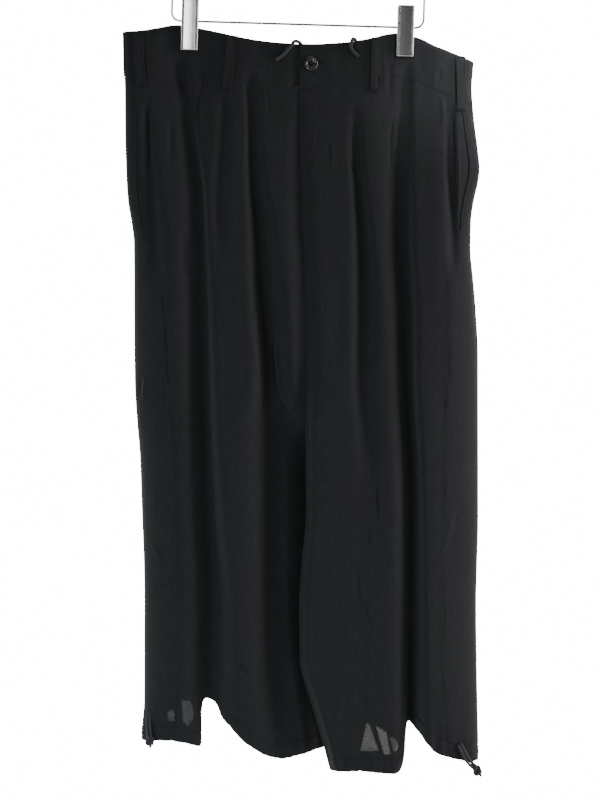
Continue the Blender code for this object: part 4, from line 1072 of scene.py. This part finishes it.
# ---- Fly and pocket edges ----
# The fly is a second layer of georgette down the left front's edge, held by one curved row of
# stitches. Each pocket lies in the side seam, and its mouth has a turned and stitched edge.
FLY_WIDTH, FLY_LENGTH = 22.0, 216.0
POCKET_FROM, POCKET_TO, POCKET_WIDTH = 118.0, 276.0, 11.0
EDGE_WALL = 0.9


def laid_strip(name, half, along, wide, across, drop, lift, row):
    """A strip that lies on the front, sunk where its row of stitches runs, and that row's path."""
    rim = rounded(along[:, None], wide, 0.6)
    ridge = -0.3 * np.exp(-(((wide - row) / 0.9) ** 2))
    piece = sewn_strip(
        f"{name}_edge", name, georgette, half, FRONT, across, drop, lift, rim, EDGE_WALL, ridge
    )
    return np.stack([across[:, -6], drop[:, -6]], -1)


along, wide = eased_steps(FLY_LENGTH, 3.0), eased_steps(FLY_WIDTH, 1.8)
share = along[:, None] / FLY_LENGTH
width_share = np.sqrt(np.clip(1 - np.clip((share - 0.72) / 0.285, 0, 1) ** 2, 0.0004, 1))
drop = top_edge(15.0) + BAND_HEIGHT + 1.0 + along[:, None] + 0 * wide
across = reading(INNER_SEAM[LEFT], 1, drop) + 0.2 + wide * width_share
row = laid_strip("fly", LEFT, along, wide, across, drop, 0.95, FLY_WIDTH - 3.0)
sewn("fly_stitches", [stitches(LEFT, FRONT, row[3:-4], 1.25, width=0.45)])

pocket_rows = []
along, wide = eased_steps(POCKET_TO - POCKET_FROM, 2.6), eased_steps(POCKET_WIDTH, 1.5)
share = along[:, None] / (POCKET_TO - POCKET_FROM)
drop = POCKET_FROM + along[:, None] + 0 * wide
mouth = 0.9 + 1.6 * np.sin(math.pi * share) * (1 - 0.75 * wide / POCKET_WIDTH)
for half, inward in INWARD.items():
    across = reading(SIDE_SEAM[half], 1, drop) + inward * (4.0 + wide)
    row = laid_strip(f"pocket_edge_{half}", half, along, wide, across, drop, mouth, POCKET_WIDTH - 2.5)
    pocket_rows.append(stitches(half, FRONT, row[3:-3], 1.4, width=0.42))
sewn("pocket_stitches", pocket_rows)

# ---- Hem stitching ----
# One row of stitches closes each hem's casing. Its drawcord comes out through an eyelet worked
# round with close stitches, in the front beside the side seam.
EYELETS = {RIGHT: (-197.0, 922.5), LEFT: (217.0, 961.0)}
EYELET_RADIUS, EYELET_STITCHES, EYELET_REACH = 3.2, 22, 2.3

hem_rows = []
for half, inward in INWARD.items():
    for face in (FRONT, BACK):
        side = float(reading(SIDE_SEAM[half], 1, 940.0))
        inner = float(reading(INNER_SEAM[half], 1, 960.0))
        line = np.linspace(side + 4 * inward, inner, 420)
        path = np.stack([line, hem_edge(half, face, line) - CASING_HEIGHT], -1)
        hem_rows.append(stitches(half, face, path, 0.5, width=0.45))
    for k in range(EYELET_STITCHES):
        angle = math.tau * k / EYELET_STITCHES
        way = np.array((math.cos(angle), math.sin(angle)))
        path = [np.array(EYELETS[half]) + way * r for r in (EYELET_RADIUS, EYELET_RADIUS + EYELET_REACH)]
        hem_rows.append(stitches(half, FRONT, path, 0.6, pitch=1.0, length=1.7, width=0.7))
sewn("hem_stitches", hem_rows)

# ---- Button ----
# A turned polyester button, black with a faint marbling, polished on its rim and in its dish. Four
# holes take two crossed pairs of threads, and the stitched buttonhole shows at its side.
BUTTON_DIAMETER = 19.0
BUTTON_PLACE = (18.0, 53.6)
HOLE_RADIUS, HOLE_REACH, HOLE_DEPTH = 0.95, 2.3, 1.9

# Cast polyester resin, polished: near black, with a hard clear gloss.
polished_resin, tree, shader = finish("polished_polyester_resin", "#141414", Roughness=0.1, IOR=1.62)
marbling = node(tree, "TexNoise", {"Scale": 260.0, "Detail": 4.0, "Distortion": 1.6})
tone = node(
    tree, "Mix", {0: marbling.outputs["Fac"], 6: linear("#0d0d0d"), 7: linear("#222122")}, data_type="RGBA"
)
tree.links.new(tone.outputs[2], shader.inputs["Base Color"])

DISH, TURNS = 2.1, 96
profile = [(0.06 * i, DISH) for i in range(1, 8)] + [
    # share of the radius, height
    (0.47, 2.12), (0.51, 2.2), (0.55, 2.46), (0.59, 2.82), (0.63, 3.06), (0.67, 3.14), (0.72, 3.17),
    (0.78, 3.2), (0.83, 3.17), (0.87, 3.04), (0.905, 2.8), (0.935, 2.5), (0.965, 2.14), (0.985, 1.8),
    (1.0, 1.4), (0.99, 1.0), (0.95, 0.6), (0.85, 0.2), (0.7, 0.05), (0.35, 0.0),
]
hole_middles = [
    (HOLE_REACH * math.cos(math.radians(a)), HOLE_REACH * math.sin(math.radians(a)))
    for a in (45, 135, 225, 315)
]


def turned(profile, sides):
    """Rings of points round an axis, one for each (radius, height), and the faces between them."""
    points, faces = [], []
    for radius, height in profile:
        for k in range(sides):
            angle = math.tau * k / sides
            points.append((radius * math.cos(angle), radius * math.sin(angle), height))
    for here in range(0, len(points) - sides, sides):
        for k in range(sides):
            other = (k + 1) % sides
            faces.append((here + k, here + sides + k, here + sides + other, here + other))
    return points, faces


button, faces = turned([(BUTTON_DIAMETER / 2 * share, height) for share, height in profile], TURNS)
for i, (x, y, height) in enumerate(button):
    nearest = min(math.hypot(x - a, y - b) for a, b in hole_middles)
    if height > 2:
        hole = float(smooth_step(HOLE_RADIUS + 0.2 - nearest, 0.0, 0.35))
        button[i] = (x, y, height - HOLE_DEPTH * hole)
middle, foot = len(button), len(button) - TURNS
button += [(0.0, 0.0, DISH), (0.0, 0.0, 0.0)]
for k in range(TURNS):
    other = (k + 1) % TURNS
    faces += [(middle, k, other), (foot + k, middle + 1, foot + other)]
back, out = cloth(LEFT, FRONT, *map(np.array, BUTTON_PLACE), np.array(BAND_WALL / 2 + 0.3))
button_way = Vector((out[0], out[1], -out[2])).to_track_quat("Z", "Y")
button_back = Vector(to_world(back)[0])


def on_button(points):
    """Points in the button's own millimetres, put in the frame."""
    return [button_back + button_way @ (Vector(p) / 1000) for p in points]


new_piece("button_turned", on_button(button), faces, polished_resin, ["button"])

# Two threads join each pair of holes. They dip into the holes at both ends: the share of the way
# across, and how deep the thread lies there.
THREAD_RADIUS, THREAD_HEIGHT, THREAD_ASIDE = 0.3, 2.3, 0.28
THREAD_DIPS = ((0.0, 1.4), (0.04, 0.5), (0.2, 0.0), (0.5, 0.0), (0.8, 0.0), (0.96, 0.5), (1.0, 1.4))
strands = []
for (x0, y0), (x1, y1) in (hole_middles[0::2], hole_middles[1::2]):
    for offset in (-THREAD_ASIDE, THREAD_ASIDE):
        aside = Vector((y1 - y0, x0 - x1, 0)).normalized() * offset
        line = []
        for t, dip in THREAD_DIPS:
            height = THREAD_HEIGHT + 0.35 * math.sin(math.pi * t) - dip
            line.append(Vector((x0 + (x1 - x0) * t, y0 + (y1 - y0) * t, height)) + aside)
        points, faces = round_bar(line, lambda run, angle: THREAD_RADIUS, 10)
        strands.append((on_button(points), faces))
sewn("button_thread", strands)

# The buttonhole: close stitches across both lips of its slot, and a bar at its far end.
HOLE_FROM, HOLE_TO, HOLE_DROP = 9.0, 33.0, 52.2
hole_rows = []
for x in np.arange(HOLE_FROM, HOLE_TO, 0.8):
    for start in (-2.5, 0.2):
        path = [(x, HOLE_DROP + start), (x + 0.1, HOLE_DROP + start + 2.3)]
        hole_rows.append(stitches(LEFT, FRONT, path, BAND_WALL / 2 + 0.2, 1.0, 1.7, 0.62))
for x in (HOLE_TO, HOLE_TO + 0.6, HOLE_TO + 1.2):
    path = [(x, HOLE_DROP - 2.9), (x, HOLE_DROP + 2.9)]
    hole_rows.append(stitches(LEFT, FRONT, path, BAND_WALL / 2 + 0.3, 2.0, 4.6, 0.6))
sewn("buttonhole_stitches", hole_rows)

# ---- Hanger ----
# One length of drawn steel wire, chromed, bent into a closed loop with rounded corners, and a
# round hook held by a turned collar. The clips sit on its bar.
WIRE, WIRE_SIDES = 3.2, 20
HOOK_RADIUS, NECK_DROP = 20.0, 72.0
BAR_HALF_WIDTH, CORNER_RADIUS = 168.0, 11.0
SHOULDER_RADIUS, SHOULDER_HEIGHT, SHOULDER_SLOPE = 24.0, 66.0, 12.0
APEX_RADIUS, APEX_DROP = 20.0, 26.0

# Chromed steel: mirror bright, softened a little by fine scuffs.
chromed_wire, tree, shader = finish("chromed_steel_wire", "#a3a5a8", Metallic=1.0, Roughness=0.07)
scuffs = node(tree, "TexNoise", {"Scale": 900.0, "Detail": 3.0})
rough = node(tree, "MapRange", {"Value": scuffs.outputs["Fac"], "To Min": 0.04, "To Max": 0.1})
tree.links.new(rough.outputs[0], shader.inputs["Roughness"])


def on_hanger(points):
    """Places in the hanger's own plane, in millimetres, turned by the tilt that it hangs at."""
    tilt = Matrix.Rotation(HANGER_TILT, 3, "Y")
    return [tilt @ (Vector(p) / 1000) for p in points]


def arc(centre, radius, start, end, steps):
    """Points of an arc in the hanger's plane, angles in degrees from +X towards +Z."""
    angles = [math.radians(start + (end - start) * i / steps) for i in range(steps + 1)]
    return [Vector((centre[0] + radius * math.cos(a), 0, centre[1] + radius * math.sin(a))) for a in angles]


def even_line(points, step, closed=False):
    """The same path with points evenly a step apart."""
    points = [Vector(p) for p in points]
    if closed:
        points.append(points[0])
    runs = np.concatenate([[0], np.cumsum([(b - a).length for a, b in zip(points, points[1:])])])
    at = np.linspace(0, runs[-1], max(3, round(runs[-1] / step)) + 1)
    line = np.stack([np.interp(at, runs, [p[i] for p in points]) for i in range(3)], -1)
    return [Vector(p) for p in (line[:-1] if closed else line)]


def wire(run, angle):
    """One radius all along and all round."""
    return WIRE / 2


bar = -HOOK_TO_BAR
corner = (BAR_HALF_WIDTH - CORNER_RADIUS, bar + CORNER_RADIUS)
shoulder = (BAR_HALF_WIDTH - SHOULDER_RADIUS, bar + SHOULDER_HEIGHT - SHOULDER_RADIUS)
right_side = arc(corner, CORNER_RADIUS, 270, 360, 16)
right_side += arc(shoulder, SHOULDER_RADIUS, 0, 90 - SHOULDER_SLOPE, 20)
left_side = [Vector((-p.x, 0, p.z)) for p in reversed(right_side)]
apex = arc((0, -NECK_DROP - APEX_DROP), APEX_RADIUS, 90 - SHOULDER_SLOPE, 90 + SHOULDER_SLOPE, 8)
loop = even_line(right_side + apex + left_side, 3.0, closed=True)
points, faces = round_bar(loop, wire, WIRE_SIDES, closed=True)
new_piece("hanger_frame_wire", on_hanger(points), faces, chromed_wire, ["hanger_frame"])

over = arc((0, -HOOK_RADIUS), HOOK_RADIUS + WIRE / 2, -50, 200, 60)
stem = [Vector((0, 0, -NECK_DROP + 1.0)), Vector((0, 0, -NECK_DROP + 14.0)), Vector((3.5, 0, -48.0))]
points, faces = round_bar(smooth_line(stem + over[::6], 1.5), wire, WIRE_SIDES)
new_piece("hanger_hook_wire", on_hanger(points), faces, chromed_wire, ["hanger_hook"])

COLLAR_SIDES = 40
collar = (
    # radius, height over the foot of the neck
    (1.75, 10.2), (2.6, 10.2), (3.3, 9.6), (3.6, 8.6), (3.6, 6.6), (3.0, 6.0),
    (3.0, 3.4), (3.6, 2.8), (3.75, 0.4), (3.75, -2.6), (3.3, -3.6), (2.0, -4.0),
)
points, faces = turned([(radius, height - NECK_DROP) for radius, height in collar], COLLAR_SIDES)
faces.append(tuple(range(len(points) - COLLAR_SIDES, len(points)))[::-1])
faces.append(tuple(range(COLLAR_SIDES)))
new_piece("hanger_collar_turned", on_hanger(points), faces, chromed_wire, ["hanger_collar"])

# ---- Clips ----
# Two pressed steel clips, chromed: each a pair of channel plates with rolled edges that a coil
# spring on the bar presses together at the foot, over a thin rubber lining, black as painted shadow.
CLIP_WIDTH, CLIP_ABOVE_BAR, CLIP_BELOW_BAR = 22.5, 29.0, 39.5
CHANNEL_DEPTH, ROLL_RADIUS, PLATE_WALL = 5.4, 0.9, 0.8
PAD_WALL, PAD_HEIGHT, PAD_ROWS, PAD_COLUMNS = 0.9, 27, 9, 7
COIL_RADIUS, COIL_LENGTH, COIL_TURNS, COIL_STEPS, COIL_WIRE = 3.7, 13.2, 6.5, 240, 1.2

# Chromed sheet: bright and smooth, with a faint brushing across it.
chromed_plate, tree, shader = finish("chromed_pressed_steel", "#d2d3d4", Metallic=1.0, Roughness=0.22)
place = node(tree, "TexCoord", {})
stretch = node(tree, "Mapping", {"Vector": place.outputs["Object"], "Scale": (30.0, 30.0, 2600.0)})
brushing = node(tree, "TexNoise", {"Vector": stretch.outputs["Vector"], "Scale": 1.0, "Detail": 2.0})
rough = node(tree, "MapRange", {"Value": brushing.outputs["Fac"], "To Min": 0.13, "To Max": 0.25})
tree.links.new(rough.outputs[0], shader.inputs["Roughness"])

# Moulded rubber lining, matt; its black is painted shadow, so that it shows as a dark line round each plate
# where the clip pinches the cloth into shade.
moulded_rubber, tree, shader = finish(
    "moulded_rubber", "#141414", Roughness=0.7, Specular_IOR_Level=0.2
)
clouding = node(tree, "TexNoise", {"Scale": 500.0})
tone = node(
    tree, "Mix", {0: clouding.outputs["Fac"], 6: linear("#111111"), 7: linear("#191919")}, data_type="RGBA"
)
tree.links.new(tone.outputs[2], shader.inputs["Base Color"])

# Across a plate: flange, rolled edge, pressed groove, crowned face, and the same again.
half_width = CLIP_WIDTH / 2
edge = [(half_width - 0.1, -CHANNEL_DEPTH), (half_width, -0.6 * CHANNEL_DEPTH)]
for a in np.radians(np.linspace(0, 90, 7)):
    roll = ROLL_RADIUS * math.sin(a) - ROLL_RADIUS
    edge.append((half_width - ROLL_RADIUS + ROLL_RADIUS * math.cos(a), roll))
edge += [(half_width - 1.9, 0.0), (half_width - 2.3, -0.45), (half_width - 2.9, -0.45)]
edge += [(half_width - 3.3, 0.0), (half_width - 3.6, 0.0)]
crown = [(x, 0.16 * (1 - (x / (half_width - 3.6)) ** 2)) for x in (-5.0, -2.5, 0.0, 2.5, 5.0)]
section = [(-x, d) for x, d in edge] + crown + edge[::-1]
plate_rows = (
    # height above the bar, how far out the face lies, share of the channel's depth kept
    (-CLIP_BELOW_BAR, 5.6, 0.3), (-CLIP_BELOW_BAR + 0.1, 6.6, 0.7),
    (-CLIP_BELOW_BAR + 0.4, 7.25, 0.95), (-CLIP_BELOW_BAR + 1.0, 7.5, 1.0),
    (-CLIP_BELOW_BAR + 1.6, 7.517, 1.0), (-CLIP_BELOW_BAR + 2.6, 7.545, 1.0),
    (CLIP_ABOVE_BAR - 3.8, 9.256, 1.0), (CLIP_ABOVE_BAR - 2.8, 9.284, 1.0),
    (CLIP_ABOVE_BAR - 2.2, 9.3, 1.0), (CLIP_ABOVE_BAR - 1.2, 9.2, 1.0),
    (CLIP_ABOVE_BAR - 0.4, 8.7, 0.8), (CLIP_ABOVE_BAR, 7.6, 0.4),
)
plate_grid = grid_faces(len(plate_rows), len(section))

# The lining is a thin slab over the channel's open side, a little wider than the plate, so that its
# black edge shows round the plate as painted shadow.
pad = [
    (x, 1.9, up)
    for up in np.linspace(-CLIP_BELOW_BAR - 0.7, PAD_HEIGHT - CLIP_BELOW_BAR, PAD_ROWS)
    for x in np.linspace(-half_width - 0.8, half_width + 0.8, PAD_COLUMNS)
]
count = len(pad)
pad += [(x * 0.985, out + PAD_WALL, up) for x, out, up in pad]
pad_faces = []
for square in grid_faces(PAD_ROWS, PAD_COLUMNS):
    pad_faces += [square, tuple(i + count for i in reversed(square))]
rim_line = [*range(PAD_COLUMNS), *range(2 * PAD_COLUMNS - 1, count, PAD_COLUMNS)]
rim_line += [*range(count - 2, count - PAD_COLUMNS - 1, -1)]
rim_line += [*range(count - 2 * PAD_COLUMNS, 0, -PAD_COLUMNS)]
for a, b in zip(rim_line, rim_line[1:] + rim_line[:1]):
    pad_faces.append((b, a, a + count, b + count))

for half, clip_across in zip((RIGHT, LEFT), CLIPS_ACROSS):
    for face, sign in OUTWARD.items():
        name = f"clip_{half}_{face}"
        points = [
            (clip_across + x, sign * (out + d * keep), bar + up)
            for up, out, keep in plate_rows
            for x, d in section
        ]
        faces = plate_grid if sign < 0 else [square[::-1] for square in plate_grid]
        plate = new_piece(f"{name}_plate", on_hanger(points), faces, chromed_plate, [name])
        wall = plate.modifiers.new("plate", "SOLIDIFY")
        wall.thickness = PLATE_WALL / 1000
        wall.offset = -1.0
        # each lining, drawn black as painted shadow round its plate
        points = [(clip_across + x, sign * out, bar + up) for x, out, up in pad]
        new_piece(f"{name}_pad", on_hanger(points), pad_faces, moulded_rubber)
    coil = []
    for i in range(COIL_STEPS + 1):
        angle = math.tau * COIL_TURNS * i / COIL_STEPS
        x = clip_across - COIL_LENGTH / 2 + COIL_LENGTH * i / COIL_STEPS
        coil.append(Vector((x, COIL_RADIUS * math.cos(angle), bar + COIL_RADIUS * math.sin(angle))))
    points, faces = round_bar(coil, lambda run, angle: COIL_WIRE / 2, 10)
    nodes = [f"clip_{half}_spring"]
    new_piece(f"clip_{half}_coil", on_hanger(points), faces, chromed_wire, nodes)

# ---- Stage ----
# A plain white studio: a pale floor far under the trousers, a tent of white cloth round them, and
# soft lamps in front, at both sides and behind.
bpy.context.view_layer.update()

FLOOR_LEVEL, FLOOR_RADIUS, FLOOR_SIDES = -1.92, 4.0, 96
floor_finish, tree, shader = finish("matt_white_paint", "#f4f4f2", Roughness=0.9)
floor_points, floor_faces = [(0.0, 0.0, FLOOR_LEVEL)], []
for i in range(FLOOR_SIDES):
    angle = math.tau * i / FLOOR_SIDES
    floor_points.append((FLOOR_RADIUS * math.cos(angle), FLOOR_RADIUS * math.sin(angle), FLOOR_LEVEL))
    floor_faces.append((0, i + 1, (i + 1) % FLOOR_SIDES + 1))
floor_mesh = bpy.data.meshes.new("floor")
floor_mesh.from_pydata(floor_points, [], floor_faces)
floor_mesh.materials.append(floor_finish)
floor = bpy.data.objects.new("floor", floor_mesh)
bpy.context.scene.collection.objects.link(floor)

# The tent is bright at both sides and overhead, and dim in front and behind. Shiny metal sees it
# dark on the camera's side and bright on the other.
WHITE = (1.0, 1.0, 1.0, 1.0)
world = bpy.data.worlds.new("white_tent")
bpy.context.scene.world = world
world.use_nodes = True
tree = world.node_tree
way = node(tree, "TexCoord", {})
split = node(tree, "SeparateXYZ", {"Vector": way.outputs["Generated"]})
sideways = node(tree, "Math", {0: split.outputs["X"]}, operation="ABSOLUTE")
eased = {"interpolation_type": "SMOOTHSTEP"}
beside = node(
    tree, "MapRange", {"Value": sideways.outputs[0], "From Min": 0.25, "From Max": 0.95}, **eased
)
overhead = node(
    tree, "MapRange", {"Value": split.outputs["Z"], "From Min": 0.2, "From Max": 0.95}, **eased
)
walls = node(tree, "Math", {0: beside.outputs[0], 1: overhead.outputs[0]}, operation="MAXIMUM")
soft_light = node(tree, "MapRange", {"Value": walls.outputs[0], "To Min": 0.1, "To Max": 1.0})
tent = tree.nodes["Background"]
tent.inputs["Color"].default_value = WHITE
tree.links.new(soft_light.outputs[0], tent.inputs["Strength"])
far_side = {"Value": split.outputs["Y"], "From Min": -0.3, "From Max": 0.1, "To Min": 0.02, "To Max": 5.0}
shine = node(tree, "MapRange", far_side, **eased)
tent_in_metal = node(tree, "Background", {"Color": WHITE, "Strength": shine.outputs[0]})
ray = node(tree, "LightPath", {})
# The paper behind is burnt out to pure white, but what comes through sheer cloth is not.
PAPER, PAPER_THROUGH_CLOTH = 16.0, 1.0
layers = {"Value": ray.outputs["Transparent Depth"], "To Min": PAPER, "To Max": PAPER_THROUGH_CLOTH}
through = node(tree, "MapRange", layers)
paper = node(tree, "Background", {"Color": WHITE, "Strength": through.outputs[0]})
reflected = node(
    tree, "MixShader", {0: ray.outputs["Is Glossy Ray"], 1: tent.outputs[0], 2: tent_in_metal.outputs[0]}
)
seen = node(
    tree, "MixShader", {0: ray.outputs["Is Camera Ray"], 1: reflected.outputs[0], 2: paper.outputs[0]}
)
tree.links.new(seen.outputs[0], tree.nodes["World Output"].inputs["Surface"])


def soft_lamp(name, place, target, size, watts, tint=(1.0, 1.0, 1.0)):
    lamp = bpy.data.lights.new(name, "AREA")
    lamp.shape = "RECTANGLE"
    lamp.size, lamp.size_y = size
    lamp.energy = watts
    lamp.color = tint
    made = bpy.data.objects.new(name, lamp)
    made.location = place
    made.rotation_euler = (Vector(target) - Vector(place)).to_track_quat("-Z", "Y").to_euler()
    made.visible_camera = False
    bpy.context.scene.collection.objects.link(made)
    return made


# A weak lamp by the camera, one low at the viewer's left and one grazing the folds from the right, a
# small narrow one on the waistband's end at the right, and a broad one behind that rims the cloth.
HANGING = (0.0, 0.0, -0.7)
front_lamp = soft_lamp("lamp_front", (0.0, -2.9, -0.9), HANGING, (1.2, 0.9), 4.0, (0.8, 0.95, 1.0))
front_lamp.visible_glossy = False
soft_lamp("lamp_left", (-0.75, -1.05, -1.2), (-0.15, 0.0, -0.95), (0.3, 0.6), 10.2, (0.75, 0.91, 1.0))
soft_lamp("lamp_right", (1.15, -0.25, -0.42), (0.15, 0.0, -0.55), (0.35, 1.6), 22.5, (1.0, 0.84, 0.95))
band_end = (0.24, 0.0, -0.22)
high_lamp = soft_lamp("lamp_high", (0.6, -0.7, 0.15), band_end, (0.12, 0.12), 0.24, (1.0, 0.98, 0.99))
high_lamp.data.spread = math.radians(17)
soft_lamp("lamp_behind", (-0.5, 2.8, -0.3), (0.0, 0.0, -0.65), (1.2, 1.2), 42.0, (1.0, 0.99, 0.97))
# Two small cards beside the camera, which only the clips' flat faces show.
for name, place, size, watts in (
    ("card_left", (-0.47, -2.8, 0.15), (0.34, 0.5), 4.4),
    ("card_right", (0.37, -2.8, 0.15), (0.4, 0.5), 0.02),
):
    on_clips = (place[0] / 2, 0.0, -0.17)
    card = soft_lamp(name, place, on_clips, size, watts)
    card.visible_diffuse = False
